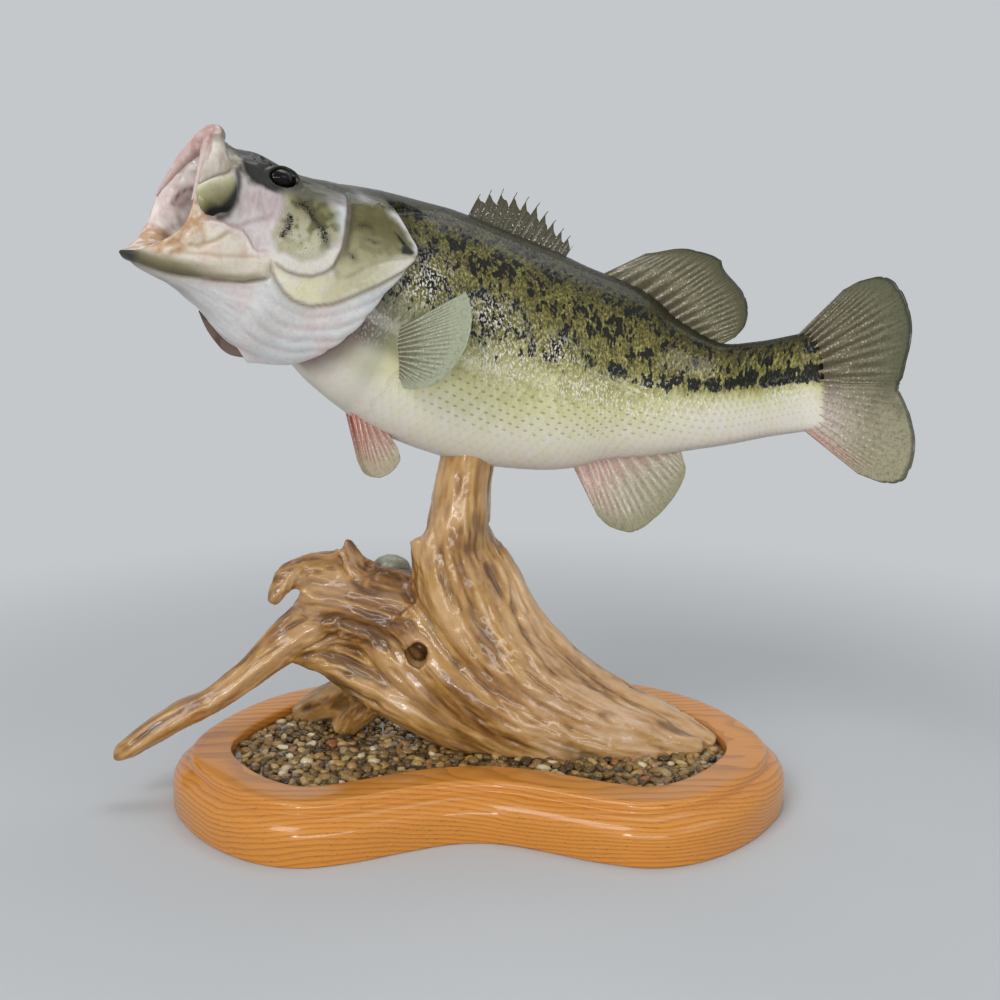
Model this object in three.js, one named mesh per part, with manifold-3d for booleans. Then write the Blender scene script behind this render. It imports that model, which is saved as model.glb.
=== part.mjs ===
// Mounted largemouth bass on driftwood, standing on an oak base with a bed of gravel.
// Millimetres, +Z up, the fish faces -X and its left flank faces -Y; origin under the middle of the base.
import * as THREE from "three";
import Module from "manifold-3d";

const wasm = await Module();
wasm.setup();

// ---- driving sizes -------------------------------------------------------------------------
const GAP = 0.3; // clearance between neighbouring solids
const BASE_HEIGHT = 35;
const POCKET_INSET = 38; // width of the oak ring between the outer edge and the opening
const POCKET_FLOOR = 10;
const GRAVEL_TOP = 31;
const EYE_RADIUS = 9.6;
const FIN_ROOT_HALF = 1.5; // half thickness of a fin at the body
const FIN_TIP_HALF = 0.45; // half thickness of a fin at its free edge
const CAUDAL_STEP = 28; // length past the last body station that one fin unit stands for

// Outline of the base, right half from the back middle to the front waist.
const BASE_OUTLINE = [
  [0, 126], [55, 129], [99, 123], [135, 107], [166, 79], [189, 38], [201, -6], [197, -42],
  [179, -75], [156, -101], [129, -119], [101, -125], [72, -118], [45, -106], [20, -96], [0, -93],
];
// Moulding of the base: inset from the outline, height.
const BASE_PROFILE = [
  [0, 0], [0, 17], [0.8, 20.5], [3, 24], [6.4, 26.6], [10, 28], [11.4, 28.6], [11.8, 32],
  [13.4, BASE_HEIGHT], [POCKET_INSET, BASE_HEIGHT], [POCKET_INSET, POCKET_FLOOR],
];

// Body stations from the throat to the root of the tail fin:
// centre x, y, z, half depth, half width, roll in degrees (left flank turned up).
const BODY = [
  [-106.4, -31, 347, 43, 20, -4],
  [-93, -18, 339.5, 59, 32, -1],
  [-50, 2, 316, 74.3, 42, 6],
  [-2.6, 12, 296, 76.5, 45, 11],
  [44.6, 11, 283, 70.5, 40, 12],
  [84.7, 3, 277, 59.5, 32, 10],
  [115.4, -10, 269.7, 45.5, 24, 8],
  [146.9, -30, 266.8, 33, 16, 6],
  [169.7, -50, 271.5, 29.5, 11.5, 5],
  [189, -72, 277.3, 29, 7, 5],
];
const TAIL_CUT = 6.6; // station where the tail is parted from the trunk

// Head frame: origin between the eyes, then yaw, pitch and roll in degrees.
const HEAD_ORIGIN = [-122, -48.7, 396.8];
const HEAD_YAW = 38;
const HEAD_PITCH = 20;
const HEAD_ROLL = -6;

// Head loops, left half from the top to the bottom: forward, left, up in the head frame.
const HEAD_OUTER = [
  [[39, 0, 9], [40.5, 8.5, 4], [43.5, 15.5, -8], [47.5, 24.5, -25], [47.5, 28, -39], [48.5, 26, -50],
    [53, 19, -59.5], [60, 9.5, -68], [67, 0, -72]],
  [[29, 0, 5], [29, 11.5, 3.5], [31, 20, -4.5], [35.5, 29, -24], [33.5, 33, -42], [33, 31, -57],
    [43, 22.5, -67.5], [54, 11.5, -75], [61, 0, -76.5]],
  [[13, 0, 8], [13, 13, 6], [12, 22, -3], [11, 28, -20], [8, 33, -42], [6, 33, -62], [17, 26, -74],
    [25, 13, -80], [27, 0, -81.5]],
  [[-10, 0, 6.5], [-10, 14, 5.5], [-10, 22, -1], [-11, 29, -16], [-12, 36, -36], [-13, 38, -55],
    [-7, 31, -78], [-1, 16, -91], [2, 0, -93.5]],
  [[-38, 0, 12], [-38, 15, 10], [-38, 27, 2.5], [-38, 35, -10], [-38, 40, -28], [-36, 40, -48],
    [-30, 33, -75], [-21, 16, -97.5], [-16, 0, -101]],
  [[-64, 0, 19], [-64, 15, 16.5], [-68, 29, 8.5], [-79, 39, -3], [-86, 43, -13], [-76, 41.5, -40],
    [-65.5, 35, -69], [-51, 15, -93], [-30, 0, -104]],
];
const HEAD_MOUTH = [
  [[35.5, 0, 6], [37.5, 7, 1], [40.5, 13.5, -10], [44.5, 22, -26], [44.5, 25, -39], [45, 22.5, -49],
    [49.5, 15.5, -57], [56, 6.5, -64.5], [62, 0, -69]],
  [[12, 0, -13], [12, 10, -15], [12, 18, -21], [12, 24, -32], [12, 27, -45], [11, 25, -58],
    [17, 19, -65], [23, 10, -70.5], [25, 0, -72]],
  [[-12, 0, -20], [-12, 8, -22], [-12, 15, -27], [-12, 20, -36], [-12, 21, -46], [-12, 18, -58],
    [-10, 13, -66], [-8, 6, -72], [-6, 0, -74]],
  [[-27, 0, -36], [-27, 3, -37], [-27, 6, -39], [-27, 8, -42], [-27, 9, -46], [-27, 8, -50],
    [-27, 6, -54], [-27, 3, -57], [-27, 0, -58]],
];
const HEAD_GILLS = [
  [[-63, 0, 16.5], [-63, 14, 14], [-66, 27, 6.5], [-76, 37, -4], [-83, 40.6, -13], [-75, 39.6, -38],
    [-64, 32.6, -66], [-49, 12, -90], [-31, 0, -101]],
  [[-50, 0, 9.5], [-50, 13, 7.5], [-48, 23, 1], [-44, 31, -10], [-42, 35, -28], [-40, 35, -47],
    [-36, 28, -70], [-34, 12, -88], [-30, 0, -94]],
  [[-44, 0, -12], [-44, 8, -14], [-42, 14, -20], [-41, 18, -30], [-41, 18, -42], [-41, 17, -52],
    [-41, 12, -62], [-41, 6, -68], [-41, 0, -72]],
];
const HEAD_SEGMENTS = 10; // steps over one half of a head loop

// ---- small tools ---------------------------------------------------------------------------
const rad = THREE.MathUtils.degToRad;
const vec = (p) => new THREE.Vector3(p[0], p[1], p[2]);

// Catmull-Rom through rows of numbers at parameter t.
function along(rows, t) {
  const last = rows.length - 1;
  const k = Math.min(Math.max(t, 0), last);
  const i = Math.min(Math.floor(k), last - 1);
  const f = k - i;
  const b = rows[i];
  const c = rows[i + 1];
  const a = i > 0 ? rows[i - 1] : b.map((x, n) => 2 * x - c[n]);
  const d = i + 2 <= last ? rows[i + 2] : c.map((x, n) => 2 * x - b[n]);
  const cubic = (n) =>
    2 * b[n] + (c[n] - a[n]) * f + (2 * a[n] - 5 * b[n] + 4 * c[n] - d[n]) * f * f +
    (3 * b[n] - a[n] - 3 * c[n] + d[n]) * f * f * f;
  return b.map((_, n) => 0.5 * cubic(n));
}

// Repeatable numbers between 0 and 1.
function randomSource(seed) {
  let state = seed;
  return () => {
    state = (state * 1664525 + 1013904223) % 4294967296;
    return state / 4294967296;
  };
}

// Closed solid from loops of points; each end is closed by a pole or, for fins, by a strip.
function loopSolid(loops, strip = false) {
  const n = loops[0].length;
  const points = loops.flat();
  const faces = [];
  for (let r = 0; r + 1 < loops.length; r++) {
    for (let i = 0; i < n; i++) {
      const a = r * n + i;
      const b = r * n + ((i + 1) % n);
      faces.push([a, b, b + n], [a, b + n, a + n]);
    }
  }
  const endLoop = (start, flip) => {
    if (strip) {
      for (let i = 0; i + 1 < n / 2; i++) {
        const q = [start + i, start + i + 1, start + n - 2 - i, start + n - 1 - i];
        const two = [[q[0], q[2], q[1]], [q[0], q[3], q[2]]];
        two.forEach((f) => faces.push(flip ? f.reverse() : f));
      }
      return;
    }
    const pole = new THREE.Vector3();
    for (let i = 0; i < n; i++) pole.add(points[start + i]);
    const p = points.push(pole.divideScalar(n)) - 1;
    for (let i = 0; i < n; i++) {
      const f = [p, start + ((i + 1) % n), start + i];
      faces.push(flip ? f.reverse() : f);
    }
  };
  endLoop(0, false);
  endLoop((loops.length - 1) * n, true);
  return solidFrom(points, faces);
}

// manifold-3d solid from points and faces, turned outwards when the loops ran the other way.
function solidFrom(points, faces) {
  const make = (list) =>
    new wasm.Manifold(
      new wasm.Mesh({
        numProp: 3,
        vertProperties: new Float32Array(points.flatMap((p) => [p.x, p.y, p.z])),
        triVerts: new Uint32Array(list.flat()),
      }),
    );
  const solid = make(faces);
  return solid.volume() > 0 ? solid : make(faces.map((f) => [f[0], f[2], f[1]]));
}

function geometryOf(solid) {
  const mesh = solid.getMesh();
  const geometry = new THREE.BufferGeometry();
  const xyz = new Float32Array((mesh.vertProperties.length / mesh.numProp) * 3);
  for (let i = 0; i < xyz.length / 3; i++) {
    for (let c = 0; c < 3; c++) xyz[3 * i + c] = mesh.vertProperties[i * mesh.numProp + c];
  }
  geometry.setAttribute("position", new THREE.BufferAttribute(xyz, 3));
  geometry.setIndex(Array.from(mesh.triVerts));
  geometry.computeVertexNormals();
  return geometry;
}

function solidOf(geometry, matrix) {
  const plain = geometry.clone().applyMatrix4(matrix);
  const position = plain.getAttribute("position");
  const index = plain.index ? Array.from(plain.index.array) : [...Array(position.count).keys()];
  const seen = new Map();
  const points = [];
  const remap = index.map((k) => {
    const p = new THREE.Vector3().fromBufferAttribute(position, k);
    const key = [p.x, p.y, p.z].map((x) => x.toFixed(4)).join(",");
    if (!seen.has(key)) seen.set(key, points.push(p) - 1);
    return seen.get(key);
  });
  const faces = [];
  for (let i = 0; i < remap.length; i += 3) {
    const f = remap.slice(i, i + 3);
    if (new Set(f).size === 3) faces.push(f);
  }
  return solidFrom(points, faces);
}

const biggest = (solid) =>
  solid.decompose().reduce((best, one) => (one.volume() > best.volume() ? one : best));

const join = (solids) => solids.reduce((sum, one) => sum.add(one));

function block(centre, size, rotation = [0, 0, 0]) {
  const matrix = new THREE.Matrix4().makeRotationFromEuler(new THREE.Euler(...rotation));
  matrix.setPosition(...centre);
  return solidOf(new THREE.BoxGeometry(...size), matrix);
}

// ---- body ----------------------------------------------------------------------------------
function bodyFrame(t) {
  const row = along(BODY, t);
  const here = vec(along(BODY, Math.min(t + 0.02, BODY.length - 1)));
  const fore = vec(along(BODY, Math.max(t - 0.02, 0)));
  const forward = fore.sub(here).normalize();
  const up = new THREE.Vector3(0, 0, 1).addScaledVector(forward, -forward.z).normalize();
  const left = new THREE.Vector3().crossVectors(up, forward);
  up.applyAxisAngle(forward, rad(row[5]));
  left.applyAxisAngle(forward, rad(row[5]));
  return { centre: vec(row), up, left, forward, depth: row[3], width: row[4] };
}

// Point of the body surface at station t; angle 0 is the back, a quarter turn the left flank.
function bodyPoint(t, angle, extra = 0) {
  const f = bodyFrame(t);
  const across = Math.sin(angle) * (f.width + extra);
  const above = Math.cos(angle) * (f.depth + extra);
  return f.centre.addScaledVector(f.up, above).addScaledVector(f.left, across);
}

// Point in the middle plane, u above the centre line; past the last station it runs straight on.
function middlePoint(t, u, side = 0) {
  const last = BODY.length - 1;
  const f = bodyFrame(Math.min(t, last));
  const past = Math.max(t - last, 0) * CAUDAL_STEP;
  return f.centre.addScaledVector(f.up, u).addScaledVector(f.left, side).addScaledVector(f.forward, -past);
}

function bodyLoft(from, to, steps, around, extra = 0) {
  const loops = [];
  for (let k = 0; k <= steps; k++) {
    const t = from + ((to - from) * k) / steps;
    const loop = [];
    for (let i = 0; i < around; i++) loop.push(bodyPoint(t, (2 * Math.PI * i) / around, extra));
    loops.push(loop);
  }
  return loopSolid(loops);
}

const trunkLoft = (extra = 0) => bodyLoft(0, TAIL_CUT, 13, 20, extra);
const tailLoft = (start, extra = 0) => bodyLoft(start, BODY.length - 1, 5, 18, extra);

// ---- head ----------------------------------------------------------------------------------
function headFrame() {
  const [yaw, pitch] = [rad(HEAD_YAW), rad(HEAD_PITCH)];
  const forward = new THREE.Vector3(
    -Math.cos(pitch) * Math.cos(yaw),
    -Math.cos(pitch) * Math.sin(yaw),
    Math.sin(pitch),
  );
  const up = new THREE.Vector3(0, 0, 1).addScaledVector(forward, -forward.z).normalize();
  const left = new THREE.Vector3().crossVectors(up, forward);
  up.applyAxisAngle(forward, rad(HEAD_ROLL));
  left.applyAxisAngle(forward, rad(HEAD_ROLL));
  return new THREE.Matrix4().makeBasis(forward, left, up).setPosition(...HEAD_ORIGIN);
}
const HEAD = headFrame();

// Full closed loop from a half loop: down the left side, then up the mirrored right side.
function fullLoop(half, extra) {
  const count = 2 * HEAD_SEGMENTS;
  const middle = half.reduce((s, p) => s + p[2], 0) / half.length;
  const loop = [];
  for (let i = 0; i < count; i++) {
    const k = i <= HEAD_SEGMENTS ? i : count - i;
    const p = along(half, (k / HEAD_SEGMENTS) * (half.length - 1));
    const side = i <= HEAD_SEGMENTS ? Math.max(p[1], 0) : -Math.max(p[1], 0);
    const out = new THREE.Vector2(side, p[2] - middle).normalize().multiplyScalar(extra);
    loop.push(new THREE.Vector3(p[0], side + out.x, p[2] + out.y));
  }
  return loop;
}

// Rows between the named loops, so that the surface is rounded along the head as well.
function between(loops, steps) {
  const rows = [];
  const count = (loops.length - 1) * steps;
  for (let k = 0; k <= count; k++) {
    const t = k / steps;
    const flat = along(loops.map((loop) => loop.flat()), t);
    rows.push(Array.from({ length: flat.length / 3 }, (_, i) => flat.slice(3 * i, 3 * i + 3)));
  }
  return rows;
}

// The shell of the head: mouth lining, lips, outside, gill cover edge, gill chamber.
function headShell(extra = 0) {
  const lining = between(HEAD_MOUTH, 1).reverse().map((half) => fullLoop(half, -extra));
  const outside = between(HEAD_OUTER, 2).map((half) => fullLoop(half, extra));
  const chamber = between(HEAD_GILLS, 1).map((half) => fullLoop(half, -extra));
  return loopSolid([...lining, ...outside, ...chamber]);
}

const inHead = (solid) => solid.transform(HEAD.elements);

// Thin plate whose middle line runs through rows of forward, left, up, half width, half thickness.
function sweep(rows, steps, sides, wide) {
  const loops = [];
  for (let k = 0; k <= steps; k++) {
    const t = (k / steps) * (rows.length - 1);
    const p = along(rows, t);
    const ahead = vec(along(rows, Math.min(t + 0.05, rows.length - 1)));
    const behind = vec(along(rows, Math.max(t - 0.05, 0)));
    const tangent = ahead.sub(behind).normalize();
    const second = new THREE.Vector3().crossVectors(tangent, wide).normalize();
    const first = new THREE.Vector3().crossVectors(second, tangent);
    const loop = [];
    for (let i = 0; i < sides; i++) {
      const angle = (2 * Math.PI * i) / sides;
      const point = vec(p);
      point.addScaledVector(first, Math.cos(angle) * Math.max(p[3], 0.5));
      loop.push(point.addScaledVector(second, Math.sin(angle) * Math.max(p[4], 0.5)));
    }
    loops.push(loop);
  }
  return loopSolid(loops);
}

const grown = (rows, extra) => rows.map((r) => [r[0], r[1], r[2], r[3] + extra, r[4] + extra]);
const mirrored = (rows) => rows.map((r) => [r[0], -r[1], ...r.slice(2)]);

// Leaf-shaped upper cheek plate, hanging from the snout to the corner of the mouth.
const MAXILLA = [
  [38, 8, 5.5, 4, 2.6],
  [38.2, 15, -1.5, 5.4, 2.6],
  [37.4, 21, -8, 8.4, 2.4],
  [38.2, 26, -15, 10.4, 2.5],
  [38.8, 29.5, -22, 10.8, 2.9],
  [39.6, 32.5, -29, 10, 3.2],
  [40, 34, -34.5, 7.2, 2.8],
  [39.3, 34.5, -38.8, 2.2, 1.6],
];
// The right plate is drawn back against the cheek, behind the lip.
const RIGHT_PLATE_BACK = 7;
const RIGHT_PLATE_IN = 2;
const RIGHT_PLATE = MAXILLA.map((r) => [
  r[0] - RIGHT_PLATE_BACK,
  RIGHT_PLATE_IN - r[1],
  ...r.slice(2),
]);
const maxillaRows = (side) => (side > 0 ? MAXILLA : RIGHT_PLATE);
const maxilla = (side, extra = 0) =>
  sweep(grown(maxillaRows(side), extra), 9, 8, new THREE.Vector3(1, 0, 0.25));

// Lip of the upper jaw from the left end over the knob at the front to the right end.
const LIP_HALF = [
  [47, 24.5, -26, 2.2, 2.4],
  [44.3, 16.5, -10.5, 3.4, 3.4],
  [41.8, 10, -1.5, 4.6, 4.4],
  [39.2, 4.6, 5, 5.8, 5.6],
  [38, 0, 7.3, 6.2, 6.3],
];
const LIP = [...LIP_HALF, ...mirrored(LIP_HALF.slice(0, 4)).reverse()];
const upperLip = (extra = 0) => sweep(grown(LIP, extra), 14, 8, new THREE.Vector3(1, 0, 0));

const TONGUE = [
  [-8, 0, -67, 5, 3],
  [6, 0, -69, 9, 4],
  [20, 0, -68.5, 10, 4],
  [32, 0, -67, 7, 3],
  [38, 0, -65.5, 3, 1.6],
];
const tongue = () => sweep(TONGUE, 7, 10, new THREE.Vector3(0, 1, 0));

const eyeAt = (side) => new THREE.Vector3(0, 14.4 * side, -1.8);
function eye(side, extra = 0) {
  const ball = new THREE.SphereGeometry(EYE_RADIUS + extra, 10, 7);
  return solidOf(ball, new THREE.Matrix4().setPosition(eyeAt(side)));
}

// Large block on one side of a plane across the head; direction (forward, up) points into it.
function halfSpace(point, direction) {
  const matrix = new THREE.Matrix4().makeRotationY(Math.atan2(-direction[1], direction[0]));
  matrix.setPosition(point[0], 0, point[1]);
  matrix.multiply(new THREE.Matrix4().makeTranslation(150 + GAP / 2, 0, 0));
  return solidOf(new THREE.BoxGeometry(300, 240, 500), matrix);
}

// The cuts between the jaws, the head and the gill covers.
function cutters() {
  const hinge = [22, -50];
  const border = [-20, -50];
  return {
    jaw: halfSpace(hinge, [0.11, -1]),
    above: halfSpace(hinge, [-0.11, 1]),
    rear: halfSpace(border, [-1, -0.2]),
    front: halfSpace(border, [1, 0.2]),
    leftHalf: block([-40, GAP / 2 + 50, -40], [200, 100, 260]),
    rightHalf: block([-40, -GAP / 2 - 50, -40], [200, 100, 260]),
    roofWide: block([-60, 0, 8], [120, 30, 60]),
    roof: block([-60, 0, 8], [120, 30 - 2 * GAP, 60]),
  };
}

function headParts() {
  const cut = cutters();
  const face = join([1, -1].flatMap((s) => [eye(s, GAP), maxilla(s, GAP)])).add(upperLip(GAP));
  const shell = headShell().subtract(face);
  const covers = shell.intersect(cut.rear).subtract(cut.roofWide);
  const skull = shell.intersect(cut.above.intersect(cut.front).add(cut.roof));
  return {
    head: biggest(skull),
    lower_jaw: biggest(shell.intersect(cut.front).intersect(cut.jaw)),
    gill_cover_left: biggest(covers.intersect(cut.leftHalf)),
    gill_cover_right: biggest(covers.intersect(cut.rightHalf)),
    upper_jaw: upperLip(),
    maxilla_left: biggest(maxilla(1).subtract(upperLip(GAP))),
    maxilla_right: biggest(maxilla(-1).subtract(upperLip(GAP))),
    tongue: biggest(tongue().subtract(headShell(GAP))),
    eye_left: eye(1),
    eye_right: eye(-1),
  };
}

// ---- fins ----------------------------------------------------------------------------------
// A fin from matching root and tip points; every second column is a ray and stands proud.
function finSolid(roots, tips, rows, camber = 0) {
  const n = roots.length;
  const loops = [];
  const chord = new THREE.Vector3().subVectors(roots[n - 1], roots[0]);
  const span = new THREE.Vector3().subVectors(tips[n >> 1], roots[n >> 1]);
  const normal = new THREE.Vector3().crossVectors(chord, span).normalize();
  for (let j = 0; j <= rows; j++) {
    const v = j / rows;
    const front = [];
    const back = [];
    for (let i = 0; i < n; i++) {
      const bend = camber * Math.sin(Math.PI * v * 0.5) * Math.sin((Math.PI * i) / (n - 1));
      const centre = new THREE.Vector3().lerpVectors(roots[i], tips[i], v).addScaledVector(normal, bend);
      const ray = i % 2 === 0 ? 1 : 0.62;
      const half = (FIN_ROOT_HALF + (FIN_TIP_HALF - FIN_ROOT_HALF) * Math.min(1.4 * v, 1)) * ray;
      const safe = Math.max(half, 0.3);
      front.push(centre.clone().addScaledVector(normal, safe));
      back.push(centre.clone().addScaledVector(normal, -safe));
    }
    loops.push([...front, ...back.reverse()]);
  }
  return loopSolid(loops, true);
}

const spread = (rows, count, place) =>
  Array.from({ length: count }, (_, i) => place(along(rows, (i / (count - 1)) * (rows.length - 1))));

// Root and tip lines of the fins in the middle plane: station, height above the centre line.
function middleFin(rootRows, tipRows, columns, rows) {
  const place = (p) => middlePoint(p[0], p[1]);
  return finSolid(spread(rootRows, columns, place), spread(tipRows, columns, place), rows);
}

function spinyDorsal() {
  const root = [[2.36, 70], [2.75, 71], [3.1, 71], [3.5, 69], [3.86, 66]];
  const tip = [[2.4, 93], [2.62, 102], [2.96, 104], [3.29, 102], [3.55, 95], [3.8, 88], [4.0, 82]];
  const count = 19;
  const place = (p) => middlePoint(p[0], p[1]);
  const roots = spread(root, count, place);
  const tips = spread(tip, count, place);
  tips.forEach((p, i) => i % 2 === 1 && p.lerp(roots[i], 0.36));
  return finSolid(roots, tips, 3);
}

const softDorsal = () =>
  middleFin(
    [[4.5, 60], [5.1, 53], [5.7, 44], [6.3, 36], [6.88, 28]],
    [[5.1, 80], [5.6, 87.5], [6.3, 87], [7.0, 81.5], [7.5, 72], [7.8, 61], [7.88, 50], [7.8, 40], [7.55, 34]],
    23,
    3,
  );

const analFin = () =>
  middleFin(
    [[4.55, -58], [5.1, -52], [5.6, -45], [6.1, -39], [6.5, -34]],
    [[5.55, -90], [5.8, -95], [6.05, -94], [6.28, -85], [6.5, -70], [6.62, -57], [6.65, -48.5], [6.6, -43]],
    21,
    3,
  );

const caudalFin = () =>
  middleFin(
    [[9.012, 28], [9.012, 14], [9.012, 0], [9.012, -14], [9.012, -28]],
    [[10.2, 48], [10.7, 51], [11.2, 49], [11.52, 38], [11.63, 18], [11.35, -6], [11.24, -12], [11.42, -26],
      [11.48, -44], [11.24, -60.5], [10.8, -62.5], [10.2, -56]],
    29,
    4,
  );

// Chest fins: station, angle from the back in degrees, distance out from the skin.
function pectoral(side) {
  const root = [[1.83, 105, -3], [1.91, 112, -3], [2.04, 119, -3], [2.15, 126, -3]];
  const tip = [[2.44, 81, 22], [2.6, 86, 26], [2.71, 92, 28], [2.73, 101, 28], [2.59, 112, 24],
    [2.34, 120, 18], [2.2, 125, 10]];
  const place = (p) => bodyPoint(p[0], rad(p[1] * side), p[2]);
  return finSolid(spread(root, 21, place), spread(tip, 21, place), 3, 3 * side);
}

// Belly fins: station, height below the centre line, distance from the middle plane.
function pelvic(side) {
  const root = [[1.86, -70, 6], [2.05, -71, 6], [2.28, -71, 6]];
  const tip = [[2.2, -97, 9], [2.32, -103, 10], [2.44, -103, 10], [2.55, -97, 10], [2.6, -88, 9],
    [2.52, -81, 8]];
  const place = (p) => middlePoint(p[0], p[1], p[2] * side);
  return finSolid(spread(root, 13, place), spread(tip, 13, place), 3, 2 * side);
}

// ---- driftwood -----------------------------------------------------------------------------
// Strands of the root: centre x, y, z, half width across the grain, half thickness.
const STRANDS = [
  [[-5, 5, 236, 19, 17], [-10, 5, 205, 22, 18], [-13, 6, 172, 28, 22], [-10, 3, 145, 36, 25],
    [0, 0, 118, 38, 25], [14, -4, 92, 34, 22]],
  [[-5, 4, 150, 26, 20], [20, 4, 110, 24, 20], [52, 5, 79, 21, 18], [90, 5, 54, 18, 15],
    [125, 1, 41, 14, 12], [158, -5, 28, 8, 8]],
  [[-20, -2, 140, 26, 20], [2, -9, 104, 28, 20], [36, -14, 72, 27, 18], [76, -16, 50, 22, 16],
    [115, -15, 37, 17, 12], [146, -16, 28, 8, 8]],
  [[-45, 0, 122, 24, 18], [-24, -8, 98, 26, 18], [6, -16, 70, 26, 18], [40, -21, 47, 22, 15],
    [80, -24, 35, 18, 11], [118, -22, 28, 9, 8]],
  [[-66, 3, 112, 22, 15], [-45, -2, 90, 22, 16], [-18, -9, 66, 20, 16], [14, -18, 44, 18, 14],
    [46, -24, 32, 12, 11]],
  [[-122, 0, 92, 9, 9], [-100, 3, 87, 15, 12], [-75, 5, 72, 17, 14], [-45, 1, 54, 16, 14],
    [-15, -9, 42, 15, 14], [18, -20, 33, 12, 11]],
  [[-116, 0, 138, 14, 9], [-92, 3, 128, 27, 14], [-62, 4, 120, 30, 16], [-35, 3, 112, 28, 16]],
  [[-80, 5, 134, 17, 9], [-84, 8, 152, 9, 6], [-87, 10, 167, 2, 2]],
  [[-90, 4, 147, 14, 9], [-112, -1, 149, 11, 8], [-127, -7, 143, 9, 7], [-135, -13, 129, 4, 4]],
  [[-22, -4, 136, 18, 14], [-32, -3, 156, 14, 11], [-37, -2, 171, 10, 8.5]],
  [[-92, 2, 122, 20, 11], [-116, 0, 108, 18, 10], [-137, -3, 93, 13, 10], [-158, -9, 76, 10, 9],
    [-177, -14, 63, 8.5, 8.5], [-195, -20, 56, 9, 8], [-212, -26, 47, 9, 8], [-229, -31, 36, 7, 6.5],
    [-237, -33, 29, 3.5, 3.5]],
  [[-70, 10, 68, 17, 14], [-92, 24, 55, 14, 12], [-112, 38, 43, 12, 10], [-132, 50, 29, 8, 7]],
  [[-72, 10, 62, 16, 13], [-84, 16, 46, 14, 11], [-95, 22, 28, 11, 9]],
  [[0, 8, 122, 22, 20], [22, 32, 78, 17, 15], [48, 58, 40, 12, 11], [62, 72, 27, 8, 7]],
];
const HOLE = [[-40, -34, 98, 9, 8], [-40, -14, 96, 8, 7], [-42, 2, 94, 4, 4]];

function driftwood() {
  const wide = new THREE.Vector3(0.1, 0.28, 1);
  const strands = STRANDS.map((rows) => sweep(rows, Math.round(1.4 * (rows.length - 1)), 6, wide));
  const ground = block([0, 10, GRAVEL_TOP + GAP - 50], [370, 240, 100]);
  const fish = trunkLoft(GAP);
  const solid = join(strands).subtract(sweep(HOLE, 3, 8, new THREE.Vector3(0, 0, 1)));
  return biggest(solid.subtract(ground).subtract(fish));
}

// ---- base and gravel -----------------------------------------------------------------------
function outlineLoop(inset, height, count = 42) {
  const half = BASE_OUTLINE;
  const mirror = half.slice(1, -1).reverse().map((p) => [-p[0], p[1]]);
  const closed = [...half, ...mirror, ...half.slice(0, 3)];
  const rows = [mirror[mirror.length - 1], ...closed];
  const span = half.length + mirror.length;
  const at = (t) => along(rows, 1 + (((t % span) + span) % span));
  const loop = [];
  for (let i = 0; i < count; i++) {
    const t = (span * i) / count;
    const p = at(t);
    const a = at(t - 0.3);
    const b = at(t + 0.3);
    const tangent = new THREE.Vector2(b[0] - a[0], b[1] - a[1]).normalize();
    loop.push(new THREE.Vector3(p[0] + tangent.y * inset, p[1] - tangent.x * inset, height));
  }
  return loop;
}

const oakBase = () => loopSolid(BASE_PROFILE.map(([inset, height]) => outlineLoop(inset, height)));

function gravelBed() {
  const random = randomSource(7);
  const edge = POCKET_INSET + GAP;
  const loops = [outlineLoop(edge, POCKET_FLOOR + GAP), outlineLoop(edge, GRAVEL_TOP - 3)];
  for (const inset of [edge + 3, edge + 16, edge + 34]) {
    const loop = outlineLoop(inset, GRAVEL_TOP);
    loop.forEach((p) => (p.z -= 2.2 * random()));
    loops.push(loop);
  }
  return loopSolid(loops);
}

function riverStone(wood) {
  const ball = new THREE.SphereGeometry(1, 12, 8);
  const matrix = new THREE.Matrix4().makeScale(14, 10, 11);
  matrix.setPosition(-60, 24, 142);
  return biggest(solidOf(ball, matrix).subtract(wood));
}

// ---- assembly ------------------------------------------------------------------------------
const group = new THREE.Group();

function addNode(name, solid, colour) {
  const material = new THREE.MeshStandardMaterial({ color: colour });
  const mesh = new THREE.Mesh(geometryOf(solid), material);
  mesh.name = name;
  group.add(mesh);
}

function buildFish() {
  const parts = headParts();
  const step = GAP + 0.1;
  const moves = [[step, 0, 0], [-step, 0, 0], [0, step, 0], [0, -step, 0], [0, 0, step], [0, 0, -step]];
  const headGrown = inHead(join(moves.map((move) => headShell().translate(move))));
  const heads = inHead(join(Object.values(parts)));
  const trunkFull = trunkLoft().subtract(headGrown);
  const bodyGrown = trunkLoft(GAP).add(tailLoft(TAIL_CUT, GAP));
  const colours = { head: 0x8f9160, lower_jaw: 0xcfc8b8, tongue: 0xc48a86, upper_jaw: 0xc8a49a };
  for (const [name, solid] of Object.entries(parts)) {
    const colour = colours[name] ?? (name.startsWith("eye") ? 0x101010 : 0xb4b48c);
    addNode(name, inHead(solid), colour);
  }
  addNode("trunk", biggest(trunkFull), 0x7d8150);
  addNode("tail", tailLoft(TAIL_CUT + GAP / 34), 0x6f7348);
  const fins = {
    dorsal_fin_spiny: spinyDorsal(),
    dorsal_fin_soft: softDorsal(),
    anal_fin: analFin(),
    caudal_fin: caudalFin(),
    pectoral_fin_left: pectoral(1),
    pectoral_fin_right: pectoral(-1),
    pelvic_fin_left: pelvic(1),
    pelvic_fin_right: pelvic(-1),
  };
  for (const [name, solid] of Object.entries(fins)) {
    addNode(name, biggest(solid.subtract(bodyGrown).subtract(heads)), 0x8c8f6a);
  }
}

function buildMount() {
  const wood = driftwood();
  addNode("driftwood", wood, 0xa77a44);
  addNode("river_stone", riverStone(wood), 0x8a8c74);
  addNode("oak_base", oakBase(), 0xc98a45);
  addNode("gravel_bed", gravelBed(), 0x8b7c5c);
}

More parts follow.
